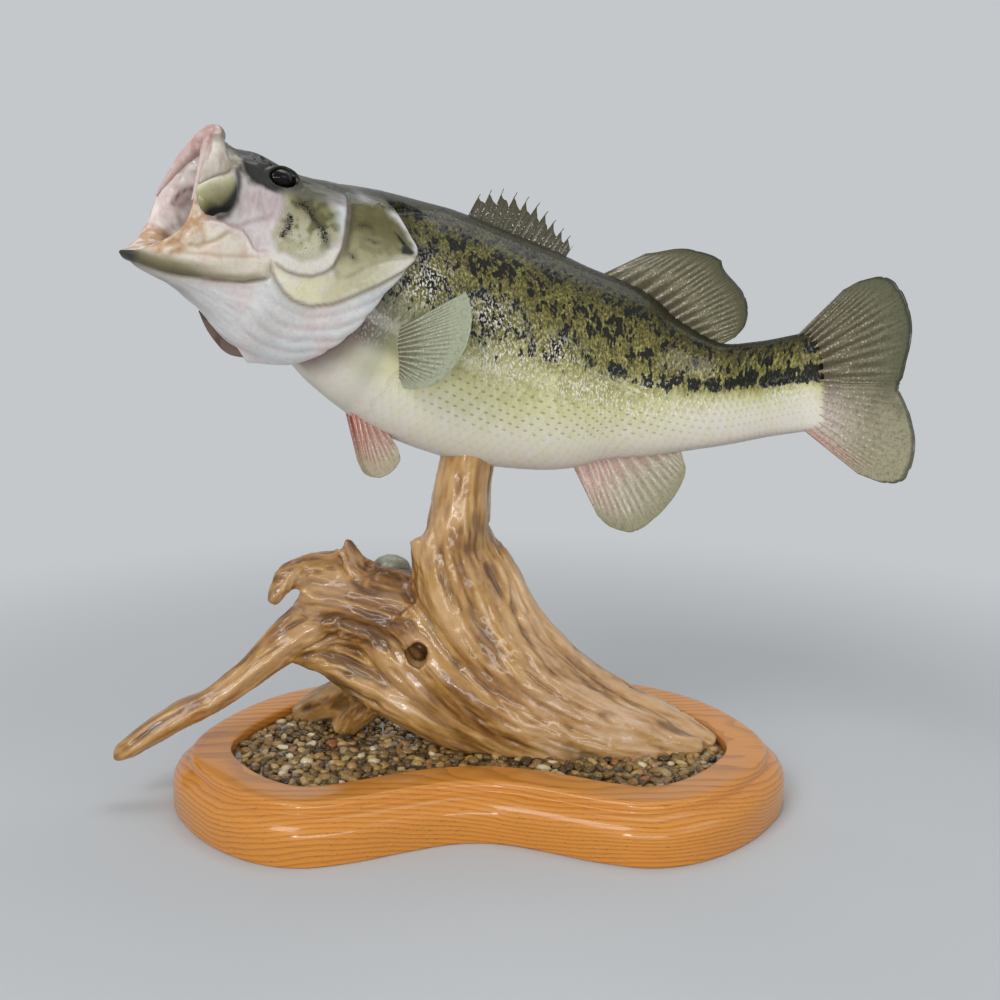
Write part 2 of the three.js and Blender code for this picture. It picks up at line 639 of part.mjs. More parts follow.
buildFish();
buildMount();

export default group;
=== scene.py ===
"""Looks of a mounted largemouth bass on driftwood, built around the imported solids.

The tables are in millimetres, in the same frame as the solids: +Z up, the fish
faces -X and shows its left flank to -Y.  Meshes are in metres.
"""
import math

import bpy
import numpy as np
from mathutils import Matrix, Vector


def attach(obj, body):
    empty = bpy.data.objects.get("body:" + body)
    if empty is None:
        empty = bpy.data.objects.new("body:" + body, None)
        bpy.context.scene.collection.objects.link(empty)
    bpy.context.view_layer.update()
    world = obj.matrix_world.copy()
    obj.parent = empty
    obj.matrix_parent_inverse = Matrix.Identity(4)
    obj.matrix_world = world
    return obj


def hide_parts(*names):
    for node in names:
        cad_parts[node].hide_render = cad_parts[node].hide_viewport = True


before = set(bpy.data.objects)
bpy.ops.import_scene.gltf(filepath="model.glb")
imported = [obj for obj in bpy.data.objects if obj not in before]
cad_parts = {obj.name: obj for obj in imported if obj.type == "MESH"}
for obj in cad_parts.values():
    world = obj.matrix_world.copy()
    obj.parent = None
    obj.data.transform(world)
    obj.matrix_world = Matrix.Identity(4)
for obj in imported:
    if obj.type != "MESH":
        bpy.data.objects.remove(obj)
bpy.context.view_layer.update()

bl_info = {
    "name": "Mounted Bass",
    "version": (1, 0, 0),
    "blender": (4, 5, 0),
    "location": "3D View > Sidebar > Mounted Bass",
    "description": "Skin, scales, fins, driftwood and base of a mounted largemouth bass",
    "category": "Object",
}

MM = 0.001

# ---- tables shared with the solids ---------------------------------------------------------
# Body stations from the throat to the root of the tail fin: centre x, y, z, half depth,
# half width, roll in degrees.
BODY = np.array([
    (-106.4, -31, 347, 43, 20, -4), (-93, -18, 339.5, 59, 32, -1), (-50, 2, 316, 74.3, 42, 6),
    (-2.6, 12, 296, 76.5, 45, 11), (44.6, 11, 283, 70.5, 40, 12), (84.7, 3, 277, 59.5, 32, 10),
    (115.4, -10, 269.7, 45.5, 24, 8), (146.9, -30, 266.8, 33, 16, 6),
    (169.7, -50, 271.5, 29.5, 11.5, 5), (189, -72, 277.3, 29, 7, 5)])
LAST = len(BODY) - 1
CAUDAL_STEP = 28
TAIL_ROOT = 0.6  # how far the flesh runs out over the tail fin, in fin units

HEAD_ORIGIN = np.array((-122, -48.7, 396.8))
HEAD_YAW, HEAD_PITCH, HEAD_ROLL = 38, 20, -6

# Half loops of the head from the top to the bottom: forward, left, up in the head frame.
HEAD_OUTER = [
    [(39, 0, 9), (40.5, 8.5, 4), (43.5, 15.5, -8), (47.5, 24.5, -25), (47.5, 28, -39),
     (48.5, 26, -50), (53, 19, -59.5), (60, 9.5, -68), (67, 0, -72)],
    [(29, 0, 5), (29, 11.5, 3.5), (31, 20, -4.5), (35.5, 29, -24), (33.5, 33, -42),
     (33, 31, -57), (43, 22.5, -67.5), (54, 11.5, -75), (61, 0, -76.5)],
    [(13, 0, 8), (13, 13, 6), (12, 22, -3), (11, 28, -20), (8, 33, -42), (6, 33, -62),
     (17, 26, -74), (25, 13, -80), (27, 0, -81.5)],
    [(-10, 0, 6.5), (-10, 14, 5.5), (-10, 22, -1), (-11, 29, -16), (-12, 36, -36),
     (-13, 38, -55), (-7, 31, -78), (-1, 16, -91), (2, 0, -93.5)],
    [(-38, 0, 12), (-38, 15, 10), (-38, 27, 2.5), (-38, 35, -10), (-38, 40, -28), (-36, 40, -48),
     (-30, 33, -75), (-21, 16, -97.5), (-16, 0, -101)],
    [(-64, 0, 19), (-64, 15, 16.5), (-68, 29, 8.5), (-79, 39, -3), (-86, 43, -13),
     (-76, 41.5, -40), (-65.5, 35, -69), (-51, 15, -93), (-30, 0, -104)]]
HEAD_MOUTH = [
    [(35.5, 0, 6), (37.5, 7, 1), (40.5, 13.5, -10), (44.5, 22, -26), (44.5, 25, -39),
     (45, 22.5, -49), (49.5, 15.5, -57), (56, 6.5, -64.5), (62, 0, -69)],
    [(12, 0, -13), (12, 10, -15), (12, 18, -21), (12, 24, -32), (12, 27, -45), (11, 25, -58),
     (17, 19, -65), (23, 10, -70.5), (25, 0, -72)],
    [(-12, 0, -20), (-12, 8, -22), (-12, 15, -27), (-12, 20, -36), (-12, 21, -46),
     (-12, 18, -58), (-10, 13, -66), (-8, 6, -72), (-6, 0, -74)],
    [(-27, 0, -36), (-27, 3, -37), (-27, 6, -39), (-27, 8, -42), (-27, 9, -46), (-27, 8, -50),
     (-27, 6, -54), (-27, 3, -57), (-27, 0, -58)]]
HEAD_GILLS = [
    [(-63, 0, 16.5), (-63, 14, 14), (-66, 27, 6.5), (-76, 37, -4), (-83, 40.6, -13),
     (-75, 39.6, -38), (-64, 32.6, -66), (-49, 12, -90), (-31, 0, -101)],
    [(-50, 0, 9.5), (-50, 13, 7.5), (-48, 23, 1), (-44, 31, -10), (-42, 35, -28),
     (-40, 35, -47), (-36, 28, -70), (-34, 12, -88), (-30, 0, -94)],
    [(-44, 0, -12), (-44, 8, -14), (-42, 14, -20), (-41, 18, -30), (-41, 18, -42),
     (-41, 17, -52), (-41, 12, -62), (-41, 6, -68), (-41, 0, -72)]]

# ---- numbers -------------------------------------------------------------------------------


def unit(v):
    return v / np.maximum(np.linalg.norm(v, axis=-1, keepdims=True), 1e-9)


def smooth(x, low, high):
    """0 below low, 1 above high, smooth between; low may be above high."""
    k = np.clip((x - low) / (high - low), 0, 1)
    return k * k * (3 - 2 * k)


def window(x, start, low, high, end):
    """1 from low to high, falling smoothly to 0 at start and at end."""
    return smooth(x, start, low) * smooth(x, end, high)


def bell(x, width, middle=0.0):
    """1 at the middle, falling to 0 within about two widths of it."""
    return np.exp(-(((x - middle) / width) ** 2))


def along(rows, t, knots=None):
    """Smooth curve through the rows at t; knots are the places of the rows, 0, 1, 2 and so on."""
    rows = np.asarray(rows, float)
    t = np.asarray(t, float)
    knots = np.arange(len(rows), dtype=float) if knots is None else np.asarray(knots, float)
    shape = (-1,) + (1,) * (rows.ndim - 1)
    step = np.diff(knots).reshape(shape)
    slope = np.diff(rows, axis=0) / step
    inner = (slope[:-1] * step[1:] + slope[1:] * step[:-1]) / (step[1:] + step[:-1])
    tangent = np.concatenate([slope[:1], inner, slope[-1:]])
    i = np.clip(np.searchsorted(knots, t, side="right") - 1, 0, len(rows) - 2)
    full = t.shape + (1,) * (rows.ndim - 1)
    d = (knots[i + 1] - knots[i]).reshape(full)
    f = np.clip((t - knots[i]) / (knots[i + 1] - knots[i]), 0, 1).reshape(full)
    a, b = rows[i], rows[i + 1]
    ma, mb = tangent[i] * d, tangent[i + 1] * d
    f2, f3 = f * f, f * f * f
    return (2 * f3 - 3 * f2 + 1) * a + (f3 - 2 * f2 + f) * ma + (3 * f2 - 2 * f3) * b + (f3 - f2) * mb


def lengths(points):
    """Length from the first point to each point of a line."""
    return np.concatenate([[0], np.cumsum(np.linalg.norm(np.diff(points, axis=0), axis=1))])


def turned(axis, v, degrees):
    c, s = np.cos(np.radians(degrees)), np.sin(np.radians(degrees))
    dot = np.sum(axis * v, axis=-1, keepdims=True)
    return v * c + np.cross(axis, v) * s + axis * dot * (1 - c)


# ---- body and head surfaces ----------------------------------------------------------------


def body_frame(t):
    """Rows of centre, forward, left, up, half depth and half width at the stations t."""
    t = np.asarray(t, float)
    row = along(BODY, np.clip(t, 0, LAST))
    ahead = along(BODY, np.clip(t - 0.02, 0, LAST - 0.04))[..., :3]
    behind = along(BODY, np.clip(t + 0.02, 0.04, LAST))[..., :3]
    forward = unit(ahead - behind)
    up = unit(np.array((0, 0, 1.0)) - forward * forward[..., 2:3])
    left = np.cross(up, forward)
    roll = row[..., 5:6]
    past = np.maximum(t - LAST, 0)[..., None]
    thin = 1 - 0.8 * smooth(past, 0, TAIL_ROOT)
    return (row[..., :3] - forward * past * CAUDAL_STEP, forward, turned(forward, left, roll),
            turned(forward, up, roll), row[..., 3:4], row[..., 4:5] * thin)


def body_point(t, angle, extra=0.0):
    """Body surface; angle 0 is the back, a quarter turn the left flank."""
    centre, _, left, up, depth, width = body_frame(t)
    a = np.asarray(angle, float)[..., None]
    return centre + up * np.cos(a) * (depth + extra) + left * np.sin(a) * (width + extra)


def middle_point(t, above, side=0.0):
    centre, _, left, up, _, _ = body_frame(t)
    return centre + up * np.asarray(above, float)[..., None] + left * np.asarray(side, float)[..., None]


def head_axes():
    yaw, pitch = math.radians(HEAD_YAW), math.radians(HEAD_PITCH)
    forward = np.array((-math.cos(pitch) * math.cos(yaw), -math.cos(pitch) * math.sin(yaw),
                        math.sin(pitch)))
    up = unit(np.array((0, 0, 1.0)) - forward * forward[2])
    left = np.cross(up, forward)
    return np.array([forward, turned(forward, left, HEAD_ROLL), turned(forward, up, HEAD_ROLL)])


HEAD_AXES = head_axes()


def from_head(p):
    return HEAD_ORIGIN + np.asarray(p, float) @ HEAD_AXES


def to_head(p):
    return (np.asarray(p, float) - HEAD_ORIGIN) @ HEAD_AXES.T


# ---- skin ----------------------------------------------------------------------------------
COLUMNS = 288  # points round the fish
SHOULDER = 1.9  # body station where head and trunk have become one surface
# Rings 0 to 3 line the mouth, 4 to 9 are the outside of the head, 10 to 12 the gill chamber and
# 13 to 18 lie on the trunk.  Rows from ring to ring:
HEAD_ROWS = [(0, 3, 44), (3, 4, 8), (4, 9, 142), (9, 10, 5), (10, 12, 12), (12, 18, 17)]
TRUNK_ROWS = 50
SKIN_DEPTH = 0.5  # how far the skin lies below the tips of the scales

COLUMN = np.arange(COLUMNS)
COLUMN_ANGLE = COLUMN / COLUMNS * 2 * np.pi
FROM_BACK = np.where(COLUMN <= COLUMNS // 2, COLUMN, COLUMNS - COLUMN) / (COLUMNS // 2)
GILL_OPEN = smooth(FROM_BACK, 0.17, 0.265)  # 0 over the nape
TRUNK_RINGS = np.arange(13, 19)
BRIDGE_STATIONS = (0.05, 0.4, 0.8, 1.2, 1.55, SHOULDER)  # of the trunk rings


def full_loop(half):
    """Closed loop of COLUMNS points from a half loop, down the left and up the right side."""
    loop = along(half, FROM_BACK * (len(half) - 1))
    loop[:, 1] = np.maximum(loop[:, 1], 0) * np.where(COLUMN <= COLUMNS // 2, 1, -1)
    return from_head(loop)


def skin_rings():
    """Rings of the skin from the gullet to the shoulder, in the world frame."""
    mouth, outer, gills = ([full_loop(half) for half in part]
                           for part in (HEAD_MOUTH[::-1], HEAD_OUTER, HEAD_GILLS))
    *trunk, after = (body_point(np.full(COLUMNS, t), COLUMN_ANGLE, -SKIN_DEPTH)
                     for t in BRIDGE_STATIONS + (SHOULDER + 0.1,))
    open_part = gills + trunk[:-1]
    start, end = outer[-1], trunk[-1]
    span = np.linalg.norm(end - start, axis=1, keepdims=True)
    m0, m1 = unit(outer[-1] - outer[-2]) * span, unit(after - end) * span
    g = GILL_OPEN[:, None]
    crossing = []
    for n, ring in enumerate(open_part):
        f = (n + 1) / (len(open_part) + 1)
        bridge = ((2 * f**3 - 3 * f**2 + 1) * start + (f**3 - 2 * f**2 + f) * m0
                  + (3 * f**2 - 2 * f**3) * end + (f**3 - f**2) * m1)
        crossing.append(bridge * (1 - g) + ring * g)
    return mouth + outer + crossing + [trunk[-1]]


def skin_surface():
    """Points of the skin, rows by columns, with the row's place among the rings and the station."""
    rings = np.array(skin_rings())
    gap = np.linalg.norm(np.diff(rings, axis=0), axis=2).mean(axis=1)
    knots = np.concatenate([[0], np.cumsum(np.maximum(gap, 0.5))])
    place = [np.linspace(knots[a], knots[b], rows, endpoint=False) for a, b, rows in HEAD_ROWS]
    place = np.concatenate(place + [knots[-1:]])
    head = along(rings, place, knots)
    ring_at = np.interp(place, knots, np.arange(len(knots)))
    t = np.linspace(SHOULDER, LAST + TAIL_ROOT, TRUNK_ROWS + 1)[1:]
    trunk = body_point(*np.meshgrid(t, COLUMN_ANGLE, indexing="ij"), -SKIN_DEPTH)
    points = np.concatenate([head, trunk])
    ring = np.concatenate([ring_at, np.full(len(t), len(rings) - 1.0)])
    station = np.concatenate([np.full(len(ring_at), SHOULDER), t])
    return points, ring, station


def grid_faces(rows, columns, closed=True):
    r = np.arange(rows - 1)[:, None]
    c = np.arange(columns if closed else columns - 1)[None]
    a = r * columns + c
    b = r * columns + (c + 1) % columns
    return np.stack([a, b, b + columns, a + columns], axis=-1).reshape(-1, 4)


def mesh_object(name, points, faces, scale=MM, smooth_shade=True):
    """New object from an array of points in millimetres and a list of face arrays."""
    mesh = bpy.data.meshes.new(name)
    faces = [f for group in (faces if isinstance(faces, list) else [faces]) for f in group.tolist()]
    mesh.from_pydata((np.asarray(points) * scale).tolist(), [], faces)
    mesh.polygons.foreach_set("use_smooth", [smooth_shade] * len(mesh.polygons))
    mesh.update()
    made = bpy.data.objects.new(name, mesh)
    bpy.context.scene.collection.objects.link(made)
    return made


# ---- head relief and paint, in the side view of the head: forward, up ------------------------
CHEEK_EDGE = [(-3, -46.5), (-8, -49.5), (-13, -50.4), (-20, -50), (-27.7, -47.7), (-34, -43),
              (-37.8, -38), (-39.5, -28), (-39, -14), (-39, -2), (-40, 6)]
OPERCLE_EDGE = [(-46, -43), (-52, -36), (-60, -27.5), (-69, -21.5), (-78, -17), (-88, -12)]
BELOW_COVER = [(-3, -46), (-4.3, -49), (-6, -54), (-10, -58), (-16, -62), (-23.5, -64.3), (-34, -64),
               (-46, -58), (-54, -51), (-68, -38), (-81, -24), (-88, -13)]
JAW_EDGE = [(68, -74.5), (64, -76), (52, -75.5), (37, -73.5), (27, -71), (7.5, -65), (-6, -57)]
CORNER_FOLD = [(40.8, -44.5), (36, -41), (30.5, -40.4), (24, -41.2), (18.7, -40.3), (13.7, -43),
               (9.4, -47.1), (5.7, -48), (-0.6, -45.4)]
CHEEK_CREASE = [(30, -40), (20.2, -37.4), (14.3, -32.7), (4.5, -26.4), (0.7, -21.4)]
SNOUT_RIM = [(33.5, 4.5), (30, 2), (26.8, -0.4), (26.1, -3), (23.9, -7.8), (19.5, -11.2), (14.7, -11.5)]
PLATE_RIM = [(29.5, 1), (26.4, -3), (27.6, -7), (31.3, -10.9)]
LIP_CREASES = ([(48, -58), (44.7, -59.6), (37.4, -55.8), (30.8, -50), (25.9, -43.3), (22, -41)],
               [(46, -63), (36, -60), (24, -56.5), (12, -52), (2, -48.5)],
               [(40, -46), (37.4, -49), (36, -53.5), (38, -58)])
PLATE_SHADOW = [(29.5, -4), (26.5, -14), (26, -25), (29, -34), (35, -40)]
LACHRYMAL = [(44, 10), (33.5, 4.5), (30, 2), (26.8, -0.4), (26.1, -3), (27.6, -7), (31.3, -10.9), (36, -9),
             (42, 0)]
PALATE_ARC = [(39, -36.7), (39.7, -34), (39.1, -30.1), (37.3, -26.3), (34.6, -23), (32, -21.3)]


def line_distance(points, line):
    """Signed distance in the plane from points to a line, positive left of its direction,
    and the share of the line's length at the nearest place."""
    line = np.asarray(line, float)
    a, b = line[:-1], line[1:]
    seg = b - a
    length = np.linalg.norm(seg, axis=1)
    flat = points.reshape(-1, 1, 2)
    f = np.clip(((flat - a) * seg).sum(-1) / length**2, 0, 1)
    off = flat - (a + seg * f[..., None])
    d = np.linalg.norm(off, axis=-1)
    k = d.argmin(axis=1)
    rows = np.arange(len(k))
    off, seg_k = off[rows, k], seg[k]
    side = np.sign(seg_k[:, 0] * off[:, 1] - seg_k[:, 1] * off[:, 0])
    start = np.concatenate([[0], np.cumsum(length)])
    share = (start[k] + f[rows, k] * length[k]) / start[-1]
    shape = points.shape[:-1]
    return (side * d[rows, k]).reshape(shape), share.reshape(shape)


def area_mask(points, outline, soft):
    """1 inside a closed outline in the plane, 0 outside, over an edge soft wide."""
    outline = np.asarray(outline, float)
    closed = np.concatenate([outline, outline[:1]])
    d = np.abs(line_distance(points, closed)[0])
    x, y = points[..., 0], points[..., 1]
    inside = np.zeros(points.shape[:-1], bool)
    for (ax, ay), (bx, by) in zip(closed[:-1], closed[1:]):
        crosses = (ay > y) != (by > y)
        inside ^= crosses & (x < (bx - ax) * (y - ay) / (by - ay + 1e-12) + ax)
    return smooth(np.where(inside, d, -d), -soft, soft)


def ripple(x):
    """Rounded ridges one unit apart, 0 to 1."""
    return np.abs(np.sin(np.pi * x)) ** 0.8


CELLS = np.random.default_rng(20).uniform(-1, 1, (64, 64, 64))


def turbulence(points, size, seed=0.0, octaves=2):
    """Noise about 0 at each point; size is the length of its largest features."""
    p = np.asarray(points, float) / size + seed * 7.31
    total = np.zeros(p.shape[:-1])
    for octave in range(octaves):
        cell = np.floor(p).astype(int)
        f = p - cell
        f = f * f * (3 - 2 * f)
        for corner in np.ndindex(2, 2, 2):
            w = np.prod(np.where(np.array(corner) == 1, f, 1 - f), axis=-1)
            at = (cell + corner) % 64
            total += w * CELLS[at[..., 0], at[..., 1], at[..., 2]] * 0.5**octave
        p = p * 2.1 + 5.7
    return total


def linear(code):
    """Linear colour from a hex code."""
    v = np.array([int(code[i:i + 2], 16) for i in (0, 2, 4)]) / 255
    return np.where(v <= 0.04045, v / 12.92, ((v + 0.055) / 1.055) ** 2.4)


def step_relief(flat, line, height, reach, groove):
    """A plate whose edge is the line: raised on its right, with a groove just past the edge."""
    d, share = line_distance(flat, line)
    plate = smooth(d, 0.45, -0.55) * np.exp(np.minimum(d, 0) / reach)
    return window(share, 0, 0.05, 0.95, 1) * (height * plate - groove * bell(d, 1.0, 0.9))


def ridge_relief(flat, line, height, width):
    d, share = line_distance(flat, line)
    return window(share, 0, 0.08, 0.92, 1) * height * bell(d, width)


EYE_RADIUS = 9.6
EYE_CENTRE = np.array((0, 14.4, -1.8))
GAZE = np.array((0.14, 0.96, 0.24))
LEVEL, TILT = 0.97, 0.24  # cosine and sine of the slant of the eye's opening
NOSTRILS = [((12.5, 15, 4.5), 1.3), ((8.0, 17.2, 3.2), 1.0)]
FOLD_PITCH = 7.5  # from one fold of the gill membrane to the next
# Edge, height, how far back the plate stays raised, depth of the groove.
PLATES = [(CHEEK_EDGE, 1.3, 7, 0.8), (OPERCLE_EDGE, 0.5, 7, 0.3), (BELOW_COVER, 1.1, 5, 0.8),
          (JAW_EDGE, 1.0, 5, 0.7), (SNOUT_RIM, 0.8, 6, 0.9)]
# Line, height, half width.
RIDGES = [(CORNER_FOLD, 1.3, 1.2), (CHEEK_CREASE, -0.5, 0.9), (PLATE_RIM, 1.0, 1.0),
          (LIP_CREASES[0], -0.9, 1.2), (LIP_CREASES[1], -0.5, 1.2), (LIP_CREASES[2], -0.7, 1.2)]


def left_side(p):
    """The points in the head frame with those of the right side mirrored to the left."""
    return p * (1, 0, 1) + np.abs(p) * (0, 1, 0)


def eye_opening(q):
    """1 at the lids, less inside the opening."""
    f, u = q[..., 0], q[..., 2] + 1.7
    d = np.hypot((f * LEVEL - u * TILT) / 8.8, (f * TILT + u * LEVEL) / 4.7)
    return np.where(q[..., 1] > 8, d, 9.0)


def below_cover(p):
    """How far each point lies below the gill cover, and how much of a long fold crosses it."""
    below, _ = line_distance(p[..., [0, 2]], BELOW_COVER)
    uneven = below + 2.2 * turbulence(p * (0.3, 1, 0.3), 9, 6.0)
    return below, ripple(uneven / FOLD_PITCH)


def strands(p):
    """Noise drawn out along the fibres in the corner of the mouth."""
    f, u = p[..., 0], p[..., 2]
    return turbulence(np.stack([f * 0.8 + u * 0.6, p[..., 1], (u - f) * 0.22], -1), 3.2, 5.0)


def head_relief(p, ring):
    """Relief of the outside of the head, in millimetres along the normal; p in the head frame."""
    q = left_side(p)
    flat = q[..., [0, 2]]
    f, u = flat[..., 0], flat[..., 1]
    high = sum(step_relief(flat, *plate) for plate in PLATES)
    high += sum(ridge_relief(flat, *ridge) for ridge in RIDGES)
    below, fold = below_cover(q)
    high += window(below, 1.5, 5, 28, 44) * smooth(f, 6, -14) * (fold - 0.5)
    high += 0.28 * area_mask(flat, BARE_CHEEK, 4) * turbulence(q * (1, 0.6, 0.3), 3.1, 3.0)
    high += 1.1 * area_mask(flat, BUNDLE, 3) * strands(q)
    high += 0.8 * smooth(below, 8, 16) * smooth(f, -30, 0) * turbulence(q * (0.25, 1, 1), 7, 9.0)
    temple = window(f, -60, -40, -14, -6) * smooth(u, -12, -4)
    high += 0.35 * temple * turbulence(q * (0.3, 1, 1), 4.5, 4.0)
    d = eye_opening(q)
    high += (0.8 + 1.6 * smooth(u, -3, 3.5)) * bell(d, 0.16, 1.16) - 3.2 * smooth(d, 1.0, 0.8)
    high -= 0.4 * bell(d, 0.12, 1.5)
    for centre, size in NOSTRILS:
        r = np.linalg.norm(q - centre, axis=-1) / size
        high += 0.5 * bell(r, 0.5, 1.5) - 1.5 * bell(r, 1)
    return high * window(ring, 3.95, 4.25, 8.9, 9.05)


# Outlines in the side view of the head, front cheek skin first.
BARE_CHEEK = [(47, -20), (36, 0), (29, 1), (24, -7.8), (19.5, -11.2), (12, -11.6), (2, -9), (-3, -12),
              (-3, -20), (-2, -28), (-1, -36), (-3, -46), (6, -48), (17, -41), (30, -41), (40, -42)]
PINK_CHEEK = [(22, -15.5), (12.3, -12.6), (4, -11), (-2, -14), (0.3, -26), (4, -30), (14, -27), (22, -24)]
SCALED_CHEEK = [(-1, -8), (-3.5, -15.5), (-2.6, -27.7), (-1.1, -35.3), (-6, -40), (-17.7, -41), (-28, -35),
                (-35, -24), (-35, -9), (-25.8, -3.2), (-8.6, -4.5)]
CRESCENT = [(-2, -42), (-11.3, -44), (-20.4, -43), (-29.3, -38), (-34.5, -30), (-38, -28), (-37, -38),
            (-29, -46), (-20, -49.6), (-8, -49.3), (-3, -46)]
OPERCLE = [(-40, 8), (-50, 6), (-61, 6), (-72, 1), (-82, -8), (-82, -14), (-74, -18.5), (-60, -27),
           (-53, -35), (-48.5, -41), (-45, -43), (-40, -38)]
NOTCH = [(-68.5, -4.5), (-73, -6.5), (-78, -9.5), (-84, -12), (-82, -14.5), (-76, -15.8), (-74.5, -13.5),
         (-75.5, -11), (-72, -8)]
SUBOPERCLE = [(-92, -11), (-82, -13.5), (-74, -17.5), (-60, -26), (-53, -34), (-48.5, -40), (-45, -43),
              (-52, -50), (-56, -50), (-70, -38), (-82, -24), (-92, -14)]
INTEROPERCLE = [(-3, -48), (-8, -50.5), (-16, -51), (-27, -48), (-36, -42), (-45, -41.5), (-53, -48),
                (-50, -54), (-46, -57.5), (-34, -64), (-23.5, -64), (-16, -61.5), (-10, -57.7), (-6, -53)]
JAW_BAND = [(72, -70), (68, -76), (64, -77), (52, -76), (37, -74), (27, -71.5), (7.5, -65.3), (-6, -57.3),
            (-4, -50), (12, -53.5), (31.6, -60), (41.5, -63), (53, -66), (60, -67), (67, -68)]
JAW_TIP = [(80, -60), (80, -84), (62, -80), (60, -74), (64, -66)]
LIP_SKIN = [(52, -69), (41.5, -66), (31.6, -63), (12, -56), (-5, -52), (-2, -45), (5.7, -48), (9.4, -47),
            (13.7, -43), (18.7, -40.3), (30.5, -40.5), (36, -40.5), (41, -37), (49, -33), (56, -52),
            (60, -66)]
BUNDLE = [(49, -32), (43.9, -34), (39, -37.2), (36.3, -40.6), (37.4, -44.7), (39.5, -49.6), (41.1, -55.1),
          (41.4, -60.6), (45.5, -65), (56, -68), (62, -66), (56, -55), (52, -42)]
SNOUT = [(60, 40), (40, 2), (36, -4), (32, -9.5), (27.5, -7), (24.5, -8.5), (20, -11.8), (14.5, -12.2),
         (7, -10.5), (0, -9.5), (-9, -6), (-20, -3.5), (-33, -0.5), (-41, 3), (-50, 9), (-70, 12),
         (-70, 40)]
SPOTS = [((-50, -9.5), (6.5, 3.2)), ((-46.7, -29), (3.5, 2.2)), ((-58, -15), (5, 1.6))]
STREAKS = [[(-7, -8), (-16.2, -12.6), (-25.1, -20.4), (-31.3, -26.9), (-33, -32)],
           [(-7, -18), (-6.9, -30), (-4.5, -36)]]


def lay(tint, code, mask):
    """Lays one colour over the tint, whose fourth channel is how much of it shows."""
    a = mask[..., None]
    old = tint[..., 3:]
    total = a + old * (1 - a)
    mixed = linear(code) * a + tint[..., :3] * old * (1 - a)
    tint[..., :3] = mixed / np.maximum(total, 1e-6)
    tint[..., 3:] = total


def coat_of(code, like):
    """New tint of one colour for points arranged as in another array."""
    tint = np.zeros(like.shape + (4,))
    lay(tint, code, np.ones(like.shape))
    return tint


# Places on the flank as station, degrees from the back, and half sizes in both; the first table places the
# painted glints of light on the scales.
GLINT_PLACES = [(1.95, 77, 0.35, 13), (3.05, 81, 0.5, 9), (3.4, 99, 0.6, 14), (4.2, 88, 0.4, 9),
          (5.0, 105, 1.1, 10), (6.2, 111, 1.2, 11), (7.0, 104, 0.8, 11), (8.8, 104, 0.6, 14)]
CLUSTERS = [(3.2, 78), (3.65, 86), (4.25, 75), (4.2, 87), (4.77, 84), (5.3, 87), (2.6, 73), (1.85, 64),
            (2.26, 51), (2.7, 60), (3.0, 52), (3.4, 36), (3.7, 50), (4.35, 60), (4.8, 65), (5.1, 63),
            (5.3, 48), (3.2, 99), (5.9, 66), (6.3, 52), (2.1, 79), (2.95, 85)]


def blobs(t, angle, places):
    """How near each point lies to any of the places, 0 to 1."""
    near = np.zeros(t.shape)
    for a, b, wide, tall in places:
        near = np.maximum(near, bell(np.hypot((t - a) / wide, (angle - b) / tall), 1))
    return near


def paint_body(points, t, angle):
    """Tone from back to belly, black mottle, dots, painted glints and a tint on the trunk, with painted
    shade along the underside.
    """
    tint = np.zeros(points.shape[:2] + (4,))
    tail = smooth(t, 5.5, 7.5)
    spread = angle + 4 * turbulence(points, 22)
    tone = np.interp(spread, [0, 16, 34, 52, 84, 98, 120, 137, 180],
                     [0, 0.06, 0.22, 0.38, 0.46, 0.6, 0.76, 0.9, 1.0])
    low = np.interp(spread, [0, 14, 40, 66, 88, 96, 106, 125, 180],
                    [0, 0.08, 0.32, 0.46, 0.52, 0.68, 0.84, 0.95, 1.0])
    tone = tone * (1 - tail) + low * tail
    middle = np.interp(t, [1.9, 2.6, 3.4, 4.5, 5.5, 6.1, 6.8, 7.5, 8.2, 9],
                       [68, 72, 78, 82, 86, 84, 82, 80, 80, 82])
    wide = np.interp(t, [1.9, 5, 6.5, 9], [14, 11, 9, 12])
    stripe = np.exp(-(((angle - middle) / wide) ** 4))
    strength = np.interp(t, [1.9, 4.2, 5.4, 6.2, 7, 9], [0.3, 0.32, 0.4, 0.55, 0.7, 0.76])
    upper = window(angle, 22, 34, 86, 104)
    mottle = np.maximum(stripe * strength, upper * 0.34 + bell(angle, 12, 30) * 0.1)
    mottle += 0.32 * blobs(t, angle, [place + (0.17, 6) for place in CLUSTERS]) * (1 - tail)
    dots = window(angle, 104, 114, 130, 142) * smooth(t, 2.2, 2.8) * (1 - 0.7 * tail)
    shoulder = smooth(t, 1.95, 1.6) * smooth(angle, 46, 60)
    lay(tint, "6b6645", shoulder)
    lay(tint, "858a7c", smooth(t, 1.95, 1.6) * smooth(angle, 92, 106))
    lay(tint, "6f7058", smooth(t, 2.7, 2.0) * window(angle, 84, 94, 112, 122) * 0.75)
    lay(tint, "cbc8b0", smooth(t, 2.1, 1.5) * smooth(angle, 112, 124))
    lay(tint, "dad5c8", smooth(t, 2.4, 1.4) * smooth(angle, 128, 146))
    # painted shade greying the underside of the belly and of the tail
    lay(tint, "c9c2b4", smooth(angle, 164, 176) * (1 - tail) * 0.6)
    lay(tint, "bcb6ac", tail * smooth(angle, 150, 168) * 0.7)
    # painted glints of light: patches on the flank and a few on the shoulder
    silver = np.maximum(blobs(t, angle, GLINT_PLACES), shoulder * window(angle, 92, 104, 112, 122) * 0.25)
    return tone, mottle, dots, silver, tint


